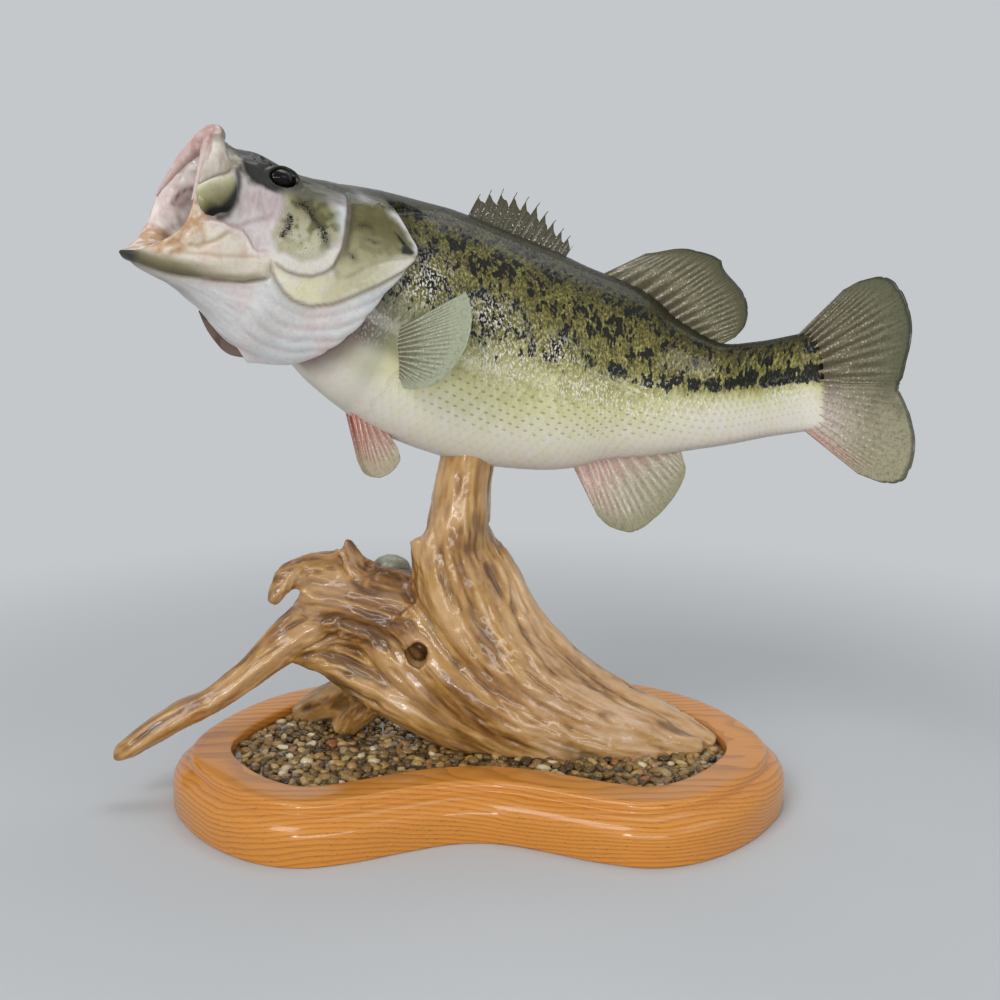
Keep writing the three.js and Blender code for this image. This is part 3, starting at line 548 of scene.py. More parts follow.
def paint_head(p, s):
    """Colours of the outside of the head, and how much dark freckle lies on them."""
    flat = p[..., [0, 2]]
    f, u = flat[..., 0], flat[..., 1]
    loose = flat + 1.3 * np.stack([turbulence(p, 6, 11.0), turbulence(p, 6, 12.0)], -1)
    tint = coat_of("dfdedd", s)

    def put(code, mask):
        lay(tint, code, mask)

    def inside(outline, soft):
        return area_mask(loose, outline, soft)

    def cloud(size, seed, low, high):
        return smooth(turbulence(p, size, seed), low, high)

    def stroke(code, line, width, share, shift=0.0):
        d, along_it = line_distance(flat, line)
        put(code, bell(d, width, shift) * window(along_it, 0, 0.06, 0.94, 1) * share)

    # throat and the gill membranes with their long folds
    put("cdd5d9", cloud(17, 21.0, -0.1, 0.5) * smooth(f, 0, -30) * 0.6)
    put("dccbc8", cloud(15, 22.0, 0.0, 0.5) * 0.5)
    below, fold = below_cover(p)
    put("cbb5b2", window(below, 1, 4, 28, 44) * smooth(f, 6, -14) * (1 - fold) ** 2 * 0.45)
    # painted shade darkening the underside of the throat towards the chin
    put("8a857a", smooth(s, 0.84, 0.97) * smooth(f, 0, 34) * smooth(below, 0, 6) * 0.85)
    # bare skin of the cheek and of the lips
    put("e0d6c6", inside(JAW_BAND, 5))
    put("d9d0cd", inside(BARE_CHEEK, 2.5))
    put("c8b3b4", inside(PINK_CHEEK, 6) * 0.75)
    drawn = smooth(turbulence(p * (1, 0.6, 0.25), 3, 8.0), 0.1, 0.6)
    put("b9a9a8", area_mask(flat, BARE_CHEEK, 4) * drawn * 0.5)
    stroke("1d1712", PLATE_SHADOW, 2.4, 0.9)
    # painted shade in the crease of the cheek
    stroke("a58588", CHEEK_CREASE, 1.2, 0.5)
    put("eae1d0", inside(LIP_SKIN, 3))
    put("dcc4b4", inside(LIP_SKIN, 2) * cloud(11, 14.0, 0.0, 0.5) * 0.7)
    # painted shade in the creases of the lip skin
    for line, share in zip(LIP_CREASES, (0.8, 0.5, 0.5)):
        stroke("b89a78", line, 1.3, share)
    put("cdb193", inside(BUNDLE, 2.2))
    # painted shade in the grooves between the fibres and a painted highlight on their crests
    put("b07a4a", inside(BUNDLE, 2) * smooth(strands(p), 0.0, -0.5) * 0.55)
    put("eadcc8", inside(BUNDLE, 2) * smooth(strands(p), 0.15, 0.6) * 0.8)
    stroke("f0e4e0", CORNER_FOLD, 1.4, 0.8, 0.4)
    stroke("b58a84", CORNER_FOLD, 1.0, 0.6, -1.5)
    # band along the lower jaw: dark at its lower edge and at the chin
    above, place = line_distance(flat, JAW_EDGE)
    jaw = inside(JAW_BAND, 1.6) * (above < 0.4) * smooth(f, -9, 6)
    depth = np.maximum(-above, 0)
    put("8d8464", jaw * smooth(depth, 11, 5) * 0.95)
    put("59563c", jaw * smooth(depth + 5 * place, 9, 2.5))
    put("ddd4c2", jaw * smooth(f, 42, 10) * smooth(depth, 1, 6))
    put("a99d85", jaw * smooth(f, 40, 6) * smooth(depth, 5, 1) * 0.6)
    put("2f312c", inside(JAW_TIP, 3) * 0.95)
    # gill cover plates
    put("ece8d6", inside(INTEROPERCLE, 2))
    put("e6df9f", inside(INTEROPERCLE, 7) * cloud(9, 3.0, -0.4, 0.3) * 0.45)
    put("b3ad84", inside(INTEROPERCLE, 3) * smooth(f, -30, -46) * 0.6)
    put("dcd6c8", inside(CRESCENT, 3) * smooth(u, -24, -36))
    cheek, stain = inside(SCALED_CHEEK, 4.5), cloud(4.5, 31.0, -0.15, 0.4)
    put("7f7a52", cheek)
    put("a39e76", cheek * smooth(u, -8, -24))
    put("bdb899", cheek * np.maximum(smooth(u, -24, -38) * 0.8, smooth(f, -11, -2) * 0.6))
    put("4f4a2d", cheek * stain * smooth(u, -40, -18) * 0.75)
    put("ddd9c8", cheek * (1 - stain) * smooth(u, -10, -30) * 0.4)
    gill = inside(OPERCLE, 3)
    sloped = u + 0.1 * (f + 60)
    put("686340", gill)
    put("858059", gill * smooth(u, -3, -16))
    put("a39e76", gill * smooth(u + 0.12 * (f + 60), -14, -27))
    put("c2be9b", gill * smooth(sloped, -25, -38))
    put("57512f", gill * stain * smooth(sloped, -38, -16) * 0.4)
    put("cfcbac", inside(SUBOPERCLE, 3) * 0.9)
    put("b3ad88", inside(SUBOPERCLE, 3) * stain * 0.4)
    put("e6e3d6", inside(SUBOPERCLE, 2.0) * smooth(f, -62, -82))
    # dark top of the head, sharp in front of the eye and soft behind it
    top, behind_eye = inside(SNOUT, 1.4 + 5.5 * smooth(f, 6, -14)), smooth(f, -4, -14)
    put("32322d", top)
    put("444338", top * behind_eye * smooth(f, -56, -38))
    put("67644c", top * behind_eye * smooth(f, -50, -36) * smooth(u, 6, -4) * 0.8)
    put("3a3a30", top * smooth(f, -48, -62))
    put("8d8877", inside(LACHRYMAL, 1.5))
    # a painted highlight along the rim of the snout plate, and the plate's dark edge beside it
    stroke("a9a493", SNOUT_RIM, 1.2, 0.5, 0.6)
    stroke("1f1d19", SNOUT_RIM, 1.5, 0.7, -1.5)
    # painted shade: black in the socket round the glass eye
    put("090806", smooth(eye_opening(left_side(p)), 1.18, 1.06))
    # edges of the plates: painted shade, a thin dark line in the groove and a soft band beside it
    for line, code, share in ((CHEEK_EDGE, "6a5648", 0.6), (BELOW_COVER, "8a7464", 0.7),
                              (OPERCLE_EDGE, "8d8464", 0.35), (JAW_EDGE, "5f4d3c", 0.75)):
        stroke(code, line, 1.0, share, 0.8)
        stroke("a3917c", line, 2.4, share * 0.4, 1.8)
    # painted shadow behind the upper edge of the cheek plate
    d, place = line_distance(flat, CHEEK_EDGE)
    put("3d3a28", bell(d, 2.0, 3.2) * window(place, 0.5, 0.65, 0.93, 1.0) * 0.75)
    # painted shade: black for the gap seen through the notch of the gill cover
    put("0b0b09", area_mask(flat, NOTCH, 0.7))
    freckle = cheek * (0.16 + 0.12 * smooth(u, -4, -44)) + gill * 0.13
    for line in STREAKS:
        d, place = line_distance(loose, line)
        near = bell(d, 2.4) * window(place, 0, 0.15, 0.8, 1)
        put("2f2b1a", near * 0.75)
        freckle += 0.3 * near
    for centre, size in SPOTS:
        near = np.exp(-(((loose - centre) / size) ** 2).sum(-1))
        put("2f2b1a", near * 0.6)
        freckle += 0.3 * near
    return tint, freckle * (1 - top)


def paint_inside(p, ring, s):
    """Colours of the mouth lining: pale at the lips, with painted shade along the palate fold and deepening
    into the gullet.
    """
    tint = coat_of("eee1db", s)
    folds = turbulence(p * (1, 1, 0.3), 5, 7.0)
    lay(tint, "d6bfbc", smooth(folds, 0.0, 0.5) * 0.6)
    lay(tint, "f7efea", smooth(folds, -0.1, -0.5) * 0.6)
    # painted shade: a dark line in the fold along the palate and a darker pocket on one side of it
    d, place = line_distance(p[..., [0, 2]], PALATE_ARC)
    arc = (p[..., 1] < -4) * (ring > 1.5) * window(place, 0, 0.08, 0.92, 1)
    lay(tint, "cdb2b4", arc * window(d, 0.0, 2.0, 5, 9) * 0.6)
    lay(tint, "7d5657", arc * bell(d, 1.1) * 0.9)
    # painted shade darkening the lining into the gullet
    lay(tint, "b8948e", smooth(ring, 1.3, 0.6))
    lay(tint, "3b211d", smooth(ring, 0.8, 0.3))
    floor = smooth(s, 0.6, 0.68) * smooth(ring, 1.6, 2.6)
    lay(tint, "c99d6c", floor * smooth(turbulence(p, 5, 2.0), -0.4, 0.2) * 0.85)
    return tint


def paint_skin(points, ring, station):
    """Markings at each point of the skin grid, each one array of the grid's size."""
    s = np.tile(FROM_BACK, (len(points), 1))
    ring = ring[:, None] + 0 * s
    before = np.interp(ring, TRUNK_RINGS, BRIDGE_STATIONS)
    t = np.where(ring < 18, before, station[:, None] + 0 * s)
    angle = s * 180
    tone, mottle, dots, silver, tint = paint_body(points, t, angle)
    p = to_head(points)
    outer = smooth(ring, 3.9, 4.05) * smooth(ring, 9.9, 9.4)
    is_head = outer > 0.001
    head_tint, freckle = paint_head(p, s)
    nape = smooth(p[..., 0], -44, -62) * smooth(s, 0.31, 0.26)
    mottle = np.where(is_head, np.maximum(freckle, nape * 0.3 * smooth(s, 0.08, 0.16)), mottle)
    head_tint[..., 3] *= 1 - nape * smooth(s, 0.05, 0.14)
    tint = np.where(is_head[..., None], head_tint, tint)
    tint = np.where((ring < 3.97)[..., None], paint_inside(p, ring, s), tint)
    chamber = coat_of("94857f", s)
    lay(chamber, "63504e", smooth(turbulence(points, 14, 4.0), -0.1, 0.5) * 0.8)
    cover_inside = smooth(ring, 9.5, 9.9) * smooth(ring, 13.2, 12.6) * GILL_OPEN
    a = cover_inside[..., None]
    tint = np.where(ring[..., None] > 9.4, tint * (1 - a) + chamber * a, tint)
    # painted shade on the trunk just behind the lower part of the gill cover's free edge
    edge = points[int(np.argmax(ring[:, 0] >= 9))]
    behind = (ring[:, 0] > 12) & (station < SHOULDER + 0.5)
    gap = np.full(s.shape, 99.0)
    for row in np.nonzero(behind)[0]:
        gap[row] = np.linalg.norm(points[row][:, None] - edge[None], axis=-1).min(axis=1)
    lay(tint, "65504b", np.exp(-((gap / 13) ** 3)) * smooth(s, 0.5, 0.62) * smooth(s, 0.97, 0.9) * 0.85)
    away = (ring > 9.9) * (1 - cover_inside)
    mottle = np.where(ring < 4, 0, mottle) * (1 - cover_inside)
    return {"tone": tone, "mottle": mottle, "dots": dots * away, "silver": silver * away, "tint": tint,
            "face": is_head * (1 - nape)}


# ---- skin as one mesh ----------------------------------------------------------------------


def grid_normals(points):
    """Outward normals of a grid whose columns close on themselves."""
    down = np.gradient(points, axis=0)
    across = np.roll(points, -1, axis=1) - np.roll(points, 1, axis=1)
    return unit(np.cross(across, down))


def sampled(grid, row, column):
    """Grid values at fractional rows and columns; the columns close on themselves."""
    r0 = np.clip(np.floor(row).astype(int), 0, len(grid) - 2)
    c = np.floor(column).astype(int)
    fr = np.clip(row - r0, 0, 1)
    fc = column - c
    fr, fc = (f.reshape(f.shape + (1,) * (grid.ndim - 2)) for f in (fr, fc))
    c0, c1 = c % COLUMNS, (c + 1) % COLUMNS
    low = grid[r0, c0] * (1 - fc) + grid[r0, c1] * fc
    high = grid[r0 + 1, c0] * (1 - fc) + grid[r0 + 1, c1] * fc
    return low * (1 - fr) + high * fr


def build_surface():
    """The skin grid with relief, normals and markings, shared by the skin and the scales."""
    points, ring, station = skin_surface()
    normals = grid_normals(points)
    p = to_head(points)
    head_rows = ring < 10
    high = np.zeros(points.shape[:2])
    high[head_rows] = head_relief(p[head_rows], ring[head_rows][:, None] + 0 * high[head_rows])
    lining = (ring < 3.6)[:, None]
    depth = smooth(ring, 3.6, 2.6)[:, None]
    folds = turbulence(p * (0.28, 1, 0.6), 6, 3.0) + 0.6 * turbulence(p, 3.5, 8.0)
    high = np.where(lining, 1.5 * depth * folds, high)
    marks = paint_skin(points, ring, station)
    moved = points + normals * high[..., None]
    return {"points": moved, "normals": grid_normals(moved), "ring": ring, "station": station, **marks}


def signed_volume(points, faces):
    total = 0.0
    for group in faces:
        for k in range(1, group.shape[1] - 1):
            a, b, c = points[group[:, 0]], points[group[:, k]], points[group[:, k + 1]]
            total += np.einsum("ij,ij->i", a, np.cross(b, c)).sum()
    return total


def facing_out(points, faces):
    return [group[:, ::-1] for group in faces] if signed_volume(points, faces) < 0 else faces


def lofted(loops):
    """Points and outward faces of a tube through loops, each end closed by a pole."""
    rows, n = loops.shape[:2]
    points = with_poles(loops)
    k = np.arange(n)
    after = (k + 1) % n
    top = (rows - 1) * n
    caps = [np.stack([k, np.full(n, rows * n), after], -1),
            np.stack([top + after, np.full(n, rows * n + 1), top + k], -1)]
    return points, facing_out(points, [grid_faces(rows, n)] + caps)


def with_poles(grid):
    """Values of a grid of loops, one a row, followed by the mean of the first and last loop."""
    ends = [grid[:1].mean(axis=1), grid[-1:].mean(axis=1)]
    return np.concatenate([grid.reshape((-1,) + grid.shape[2:])] + ends)


def joined(parts):
    """Points and faces of several meshes as one."""
    starts = np.cumsum([0] + [len(points) for points, _ in parts])
    faces = [group + start for (_, made), start in zip(parts, starts) for group in made]
    return np.concatenate([points for points, _ in parts]), faces


def tube(rows, steps, sides, wide, power=1.0):
    """Tube through rows of x, y, z, half width, half thickness; returns its loops, the place
    along and the angle round."""
    t = np.linspace(0, len(rows) - 1, steps)
    p = along(rows, t)
    tangent = unit(along(rows, np.minimum(t + 0.05, len(rows) - 1))[:, :3]
                   - along(rows, np.maximum(t - 0.05, 0))[:, :3])
    second = unit(np.cross(tangent, np.asarray(wide, float)))
    first = np.cross(second, tangent)
    a = np.arange(sides) / sides * 2 * np.pi
    c, s = np.cos(a), np.sin(a)
    c, s = np.sign(c) * np.abs(c)**power, np.sign(s) * np.abs(s)**power
    size = np.maximum(p[:, 3:5], 0.25)
    loops = (p[:, None, :3] + first[:, None] * (c[None, :, None] * size[:, None, :1])
             + second[:, None] * (s[None, :, None] * size[:, None, 1:2]))
    return loops, np.linspace(0, 1, steps)[:, None] + 0 * a, a[None] + 0 * t[:, None]


MAXILLA = [(38, 8, 5.5, 4, 2.6), (38.2, 15, -1.5, 5.4, 2.6), (37.4, 21, -8, 8.4, 2.4),
           (38.2, 26, -15, 10.4, 2.5), (38.8, 29.5, -22, 10.8, 2.9), (39.6, 32.5, -29, 10, 3.2),
           (40, 34, -34.5, 7.2, 2.8), (39.3, 34.5, -38.8, 2.2, 1.6)]
LIP_HALF = [(48.4, 27, -34, 0.4, 0.4), (47, 24.5, -26, 1.6, 1.7), (44.3, 16.5, -10.5, 3.4, 3.4),
            (41.8, 10, -1.5, 4.6, 4.4), (39.2, 4.6, 5, 5.8, 5.6), (38, 0, 7.3, 6.2, 6.3)]
TONGUE = [(-8, 0, -67, 5, 3), (6, 0, -69, 9, 4), (20, 0, -68.5, 10, 4), (32, 0, -67, 7, 3),
          (38, 0, -65.5, 3, 1.6)]
GILL_FLAP = [(4, -19, -87, 1.5, 0.6), (-6, -21, -94, 3, 0.8), (-16, -22, -99.5, 3.8, 0.8),
             (-24, -22, -103, 3.5, 0.8), (-33, -18, -104, 1, 0.5)]


def swollen(loops, share):
    """Loops with each point moved out from the middle of its loop by a share of its distance."""
    centre = loops.mean(axis=1, keepdims=True)
    return centre + (loops - centre) * (1 + share)[..., None]


def maxilla_piece(side):
    """Upper cheek plate: pale and creased above, with painted light and shade on its wrinkles and crease;
    a swollen olive leaf below, darkening to a black edge that is partly its own and partly painted shade;
    the right one is drawn back behind the lip."""
    rows = MAXILLA if side > 0 else [(r[0] - 7, 2 - r[1]) + r[2:] for r in MAXILLA]
    loops, place, angle = tube(rows, 90, 56, (1, 0, 0.25), 0.85)
    fore, outward = np.cos(angle), -np.sin(angle) * side
    start = 0.45 + 0.2 * fore
    line = place - start
    crease = bell(line, 0.02)
    lobe = np.clip(line / (1 - start), 0, 1)
    swell = smooth(line, 0.0, 0.12) * smooth(place, 1.0, 0.8)
    wrinkle = turbulence(loops * (1, 0.5, 0.22), 4, 2.0) * smooth(line, 0.02, -0.1)
    loops = swollen(loops, (0.9 * swell - 0.8 * crease + 0.5 * wrinkle) * 0.2 * (outward > 0))
    lower = smooth(line, -0.01, 0.025)
    edge = np.maximum(smooth(lobe - 0.2 * fore, 0.58, 0.84), smooth(-fore + 1.2 * lobe, 0.85, 1.3))
    tint = coat_of("c3b6a9", place)
    # painted highlight on the crests of the wrinkles and painted shade in their hollows
    for code, mask in (("ddd3c6", smooth(wrinkle, -0.2, 0.4) * 0.7),
                       ("a5947f", smooth(wrinkle, 0.0, -0.5) * 0.5),
                       ("8b8571", smooth(fore, -0.2, -0.9) * smooth(place, 0.02, 0.2) * 0.75),
                       ("7c7866", smooth(place, 0.16, 0.0) * 0.8),
                       ("cbc6a6", lower),
                       ("a19b75", lower * smooth(lobe - 0.12 * fore, 0.08, 0.36)),
                       # painted shade darkening the leaf towards its lower rear side
                       ("6b6644", lower * smooth(lobe - 0.25 * fore, 0.28, 0.66)),
                       # painted shade in the crease and a painted highlight just below it
                       ("6b6450", crease * 0.8),
                       ("e3dfcd", bell(line, 0.02, 0.045) * 0.5),
                       # black lower rear edge: the leaf's own dark tip, deepened by painted shade
                       ("0a0a07", lower * edge),
                       ("a59489", smooth(outward, 0.1, -0.3) * 0.85)):
        lay(tint, code, mask)
    return loops, tint


def lip_piece():
    """Front lip of the upper jaw: a rough pink pad on a knob, an olive rim behind, pale ends."""
    rows = LIP_HALF + [(r[0], -r[1]) + r[2:] for r in LIP_HALF[-2::-1]]
    loops, place, angle = tube(rows, 180, 40, (1, 0, 0))
    away = np.abs(place - 0.5) * 2
    mid = bell(away, 0.2)
    teeth = turbulence(loops, 1.3, 6.0) * smooth(np.cos(angle), 0.0, 0.5)
    rough = 0.05 * turbulence(loops * (1, 1, 0.5), 4.0, 6.0) + 0.05 * teeth
    groove = bell(angle, 0.25, 1.0) * (1 - 0.6 * mid)
    way = unit(loops - loops.mean(axis=1, keepdims=True))
    rim = smooth(0.35 * way[..., 2] - 0.9 * way[..., 0], 0.1, 0.7)
    loops = swollen(loops, rough - 0.2 * groove)
    tint = coat_of("c99f9a", place)
    lay(tint, "e0c6bf", smooth(turbulence(loops, 3, 1.0), -0.1, 0.3) * 0.6)
    # painted shade in the groove along the lip
    lay(tint, "6f4b4a", groove * 0.7)
    lay(tint, "a89a85", bell(rim, 0.3, 0.4) * (0.3 + 0.7 * mid))
    lay(tint, "4f4d42", smooth(rim, 0.35, 0.85) * (0.35 + 0.65 * mid))
    lay(tint, "ddcbc4", smooth(away, 0.25, 0.75) * np.where(place < 0.5, 1.0, 0.55))
    return loops, tint


def soft_piece(rows, wide, code, second_code):
    """Tongue or flap: one colour clouded with a second."""
    loops, place, _ = tube(rows, 40, 28, wide)
    tint = coat_of(code, place)
    lay(tint, second_code, smooth(turbulence(loops, 5, 3.0), -0.2, 0.4) * 0.8)
    return loops, tint


def add_marks(mesh, marks):
    """Point attributes: numbers, or colours where the last size is four."""
    for name, values in marks.items():
        values = np.asarray(values, np.float32)
        colour = values.ndim == 2
        made = mesh.attributes.new(name, "FLOAT_COLOR" if colour else "FLOAT", "POINT")
        made.data.foreach_set("color" if colour else "value", values.ravel())


def read(items, name, size, kind=np.float32):
    """Array of one property of all items of a mesh."""
    flat = np.empty(len(items) * size, kind)
    items.foreach_get(name, flat)
    return flat.reshape(-1, size) if size > 1 else flat


def add_bake_map(mesh, uv):
    """Unwrap named OFBake from one place per face corner."""
    layer = mesh.uv_layers.new(name="OFBake")
    layer.data.foreach_set("uv", np.asarray(uv, np.float32).ravel())


def corner_places(place, faces, span):
    """Unwrap places of face corners; a face over the seam goes on past the last column."""
    uv = place[faces]
    low, high = uv[..., 0].min(axis=1), uv[..., 0].max(axis=1)
    wraps = (high - low > span * 0.6)[:, None] & (uv[..., 0] < low[:, None] + span * 0.3)
    uv[..., 0] += np.where(wraps, span, 0)
    return uv.reshape(-1, 2)


def unwrap(rows, columns, faces, corner, size):
    """Corner places of a grid and its two poles within a rectangle of the unwrap."""
    row, column = np.divmod(np.arange(rows * columns), columns)
    place = np.stack([column / columns, row / rows], -1) * size + corner
    place = np.concatenate([place, np.array([(0.5, -0.007), (0.5, 1.007)]) * size + corner])
    return [corner_places(place, group, size[0]) for group in faces]


SKIN_MARKS = ("tone", "mottle", "tint", "silver", "face")


def build_skin(surface):
    """Skin of the whole fish with its jaws, lips and tongue as one object."""
    points, (sides, *caps) = lofted(surface["points"])
    # Both end caps are wound inward, against the sides; only the shading of their rims shows it.
    skin = points, [sides] + [cap[:, ::-1] for cap in caps]
    marks = {name: [with_poles(surface[name])] for name in SKIN_MARKS}
    for name, (values,) in marks.items():
        values[-2:] = surface[name][[0, -1], 0]  # each pole takes the value at the back of its loop
    uv = unwrap(len(surface["points"]), COLUMNS, skin[1], (0.01, 0.01), (0.97, 0.84))
    parts = [skin]
    extras = [maxilla_piece(1), maxilla_piece(-1), lip_piece(),
              soft_piece(TONGUE, (0, 1, 0), "c99a90", "dcb7a8"),
              soft_piece(GILL_FLAP, (0.3, -0.5, -1), "7c6a5e", "5d4b44")]
    for n, (loops, tint) in enumerate(extras):
        parts.append(lofted(from_head(loops)))
        uv += unwrap(*loops.shape[:2], parts[-1][1], (0.02 + 0.195 * n, 0.875), (0.17, 0.1))
        for name, value in zip(SKIN_MARKS, (0.5, 0, tint, 0, 1)):
            marks[name].append(with_poles(value + np.zeros(tint.shape[:2] + np.shape(value)[2:])))
    made = mesh_object("bass_skin", *joined(parts))
    add_marks(made.data, {name: np.concatenate(values) for name, values in marks.items()})
    add_bake_map(made.data, np.concatenate(uv))
    return made


# ---- scales --------------------------------------------------------------------------------
REACH = np.array([0, 0.35, 0.68, 0.88, 1.0])
ACROSS = np.array([-1, -0.5, 0, 0.5, 1.0])
HALF_AT = np.array([0.6, 0.95, 1.0, 0.8, 0.42])
# Stations and degrees from the back.
LATERAL_LINE = ([0.4, 1.9, 2.13, 2.59, 3.29, 3.98, 4.76, 6, 7, 9], [57, 55, 52, 52, 55, 57, 64, 75, 80, 80])


def scale_template():
    """Reach and side of each corner of one scale, its top faces, and the fan below them."""
    b, a = np.meshgrid(REACH, ACROSS, indexing="ij")
    side = a * HALF_AT[:, None]
    reach = b - 0.1 * a**2 * np.array([0, 0.1, 0.3, 0.6, 1.0])[:, None]
    n = len(ACROSS)
    top = grid_faces(len(REACH), n, closed=False)
    at = np.arange(top.max() + 1).reshape(-1, n)
    rim = np.concatenate([at[0], at[1:-1, -1], at[-1, ::-1], at[-2:0:-1, 0]])
    under = np.stack([rim, np.roll(rim, -1), np.full(len(rim), reach.size)], -1)
    return [np.append(v.ravel(), end) for v, end in ((reach, 0.5), (side, 0), (a, 0))] + [top, under]


def scale_pieces(name, surface, spots, length, half_width, lift, seed):
    """One object of overlapping scales; spots are rows and columns of the skin grid, the
    sizes are millimetres for each scale."""
    reach, side, across, top, under = scale_template()
    random = np.random.default_rng(seed)
    row, col = spots.T
    points = surface["points"]
    per_row, per_col = (
        np.linalg.norm(sampled(points, row + a, col + b) - sampled(points, row - a, col - b), axis=-1)
        for a, b in ((0.5, 0), (0, 0.5)))
    jitter = random.normal(0, 0.02, len(row))[:, None]
    rows = row[:, None] + (reach - 0.5 + jitter) * (length / per_row)[:, None]
    cols = col[:, None] + side * (half_width / per_col)[:, None]
    dome = 0.3 * (1 - across**2) * np.sin(np.pi * np.clip(reach, 0, 1) * 0.8)
    tilt = lift[:, None] * (1 + random.normal(0, 0.14, len(row))[:, None])
    high = (-0.42 + 0.95 * reach - 0.12 * across**2 + dome) * tilt + 0.04 * reach
    high[:, -1] -= 0.3 + 0.5 * lift
    corners = sampled(points, rows, cols) + sampled(surface["normals"], rows, cols) * high[..., None]
    shift = np.arange(len(row))[:, None, None] * len(reach)
    faces = [(top[None] + shift).reshape(-1, 4), (under[None] + shift).reshape(-1, 3)]
    flat = corners.reshape(-1, 3)
    if edges_agree(top, under) < edges_agree(top, under[:, ::-1]):
        faces[1] = faces[1][:, ::-1]
    made = mesh_object(name, flat, facing_out(flat, faces))
    made.data.set_sharp_from_angle(angle=math.radians(70))
    marks = {key: np.concatenate(sampled(surface[key], rows, cols)) for key in SKIN_MARKS}
    for key, value in (("dots", sampled(surface["dots"], row, col)), ("luck", random.random(len(row))),
                       ("crisp", np.clip(lift / 0.45, 0, 1))):
        marks[key] = np.repeat(value, len(reach))
    add_marks(made.data, {**marks, "reach": np.tile(reach, len(row)), "across": np.tile(across, len(row))})
    root = np.stack([col % COLUMNS / COLUMNS, row / len(points)], -1) * 0.96 + 0.02
    place = (root[:, None] + np.stack([side / 2, reach - 0.5], -1) * 0.003).reshape(-1, 2)
    add_bake_map(made.data, place[read(made.data.loops, "vertex_index", 1, np.int32)])
    return made


def row_of_station(surface, t):
    """Grid row of a body station; before the shoulder it lies behind the gill slit."""
    ring, station = surface["ring"], surface["station"]
    first = int(np.argmax(station > SHOULDER + 1e-6)) - 1
    trunk = np.interp(t, station[first:], np.arange(first, len(station)))
    rings = np.interp(t, BRIDGE_STATIONS, TRUNK_RINGS)
    before = np.interp(rings, ring[:first + 1], np.arange(first + 1))
    return np.where(np.asarray(t) > SHOULDER, trunk, before)


SCALE_PITCH = ([0.7, 5, 7, 9], [4.6, 4.6, 4.1, 3.5])
SCALE_GAP = ([0.7, 5, 7, 9], [5.6, 5.6, 4.6, 3.8])
SCALES_TO = 9.42
NAPE_COLUMN, NAPE_PITCH = 20, 4.4  # the pitch is measured along this column
# Degrees from the back, and the station where the scales begin there.
FIRST_SCALES = ([0, 46, 52, 88, 104, 120, 140, 180], [1.95, 1.9, 1.45, 1.45, 1.9, 2.1, 2.0, 1.9])


def staggered(half, low, high):
    """Whole numbers from low to high, even for an even row and odd for an odd one."""
    j = np.arange(low, high)
    return j[(j + half) % 2 == 0]


def body_lattice():
    """Stations and degrees from the back of the scales of one flank, laid out from the lateral line."""
    fine = np.linspace(0.7, SCALES_TO, 500)
    on_line = body_point(fine, np.radians(np.interp(fine, *LATERAL_LINE)))
    steps = np.linalg.norm(np.diff(on_line, axis=0), axis=1) / np.interp(fine[1:], *SCALE_PITCH)
    phase = np.concatenate([[0], np.cumsum(steps)])
    phase -= np.interp(SHOULDER, fine, phase)
    found = []
    degrees = np.arange(-6, 187, 0.5)
    for half in np.arange(math.ceil(2 * phase[0]), math.floor(2 * phase[-1]) + 1):
        t = np.interp(half / 2, phase, fine)
        arc = lengths(body_point(np.full(len(degrees), t), np.radians(degrees)))
        start = np.interp(np.interp(t, *LATERAL_LINE), degrees, arc)
        place = start + staggered(half, -40, 60) * np.interp(t, *SCALE_GAP)
        angle = np.interp(place[(place > arc[10]) & (place < arc[-12])], arc, degrees)
        found += [(t, one) for one in angle[t > np.interp(angle, *FIRST_SCALES)]]
    return np.array(found)


def nape_lattice(surface):
    """Scales from the shoulder forward over the nape, where the trunk runs onto the head."""
    points, ring = surface["points"], surface["ring"]
    shoulder = int(np.argmax(surface["station"] > SHOULDER + 1e-6)) - 1
    first = int(np.argmax(ring > 7.7))
    rows = np.arange(first, shoulder + 1)
    before = lengths(points[rows[::-1], NAPE_COLUMN])[::-1]
    line = np.interp(SHOULDER, *LATERAL_LINE)
    whole = lengths(body_point(np.full(91, SHOULDER), np.radians(np.linspace(0, line, 91))))[-1]
    cols = np.linspace(-3, 48, 205)
    found = []
    for half in range(math.ceil(-2 * before[0] / NAPE_PITCH), 0):
        row = np.interp(half / 2, -before / NAPE_PITCH, rows)
        arc = lengths(sampled(points, np.full(len(cols), row), cols))
        shrink = 0.72 + 0.28 * smooth(row, first, shoulder)
        place = np.interp(0, cols, arc) + (whole + staggered(half, -30, 12) * SCALE_GAP[1][0]) * shrink
        col = np.interp(place[(place > arc[2]) & (place < arc[-1])], arc, cols)
        limit = np.interp(ring[int(row)], [8.6, 9.4, 18], [38, 30, 30])
        found += [(row, one) for one in col[col < limit]]
    return np.array(found)


def head_lattice(surface, outline, pitch, gap, columns):
    """Small scales inside an outline in the side view of the head."""
    points, ring = surface["points"], surface["ring"]
    rows = np.nonzero((ring > 4.3) & (ring < 8.97))[0]
    phase = lengths(points[rows, int(np.mean(columns))]) / pitch
    cols = np.linspace(*columns, 120)
    found = []
    for half in range(int(2 * phase[-1])):
        row = np.interp(half / 2, phase, rows)
        arc = lengths(sampled(points, np.full(len(cols), row), cols))
        place = np.arange(half % 2, 200, 2) * gap
        found += [(row, one) for one in np.interp(place[place < arc[-1]], arc, cols)]
    found = np.array(found)
    spot = to_head(sampled(points, *found.T))[:, [0, 2]]
    return found[area_mask(spot, outline, 0.2) > 0.5]


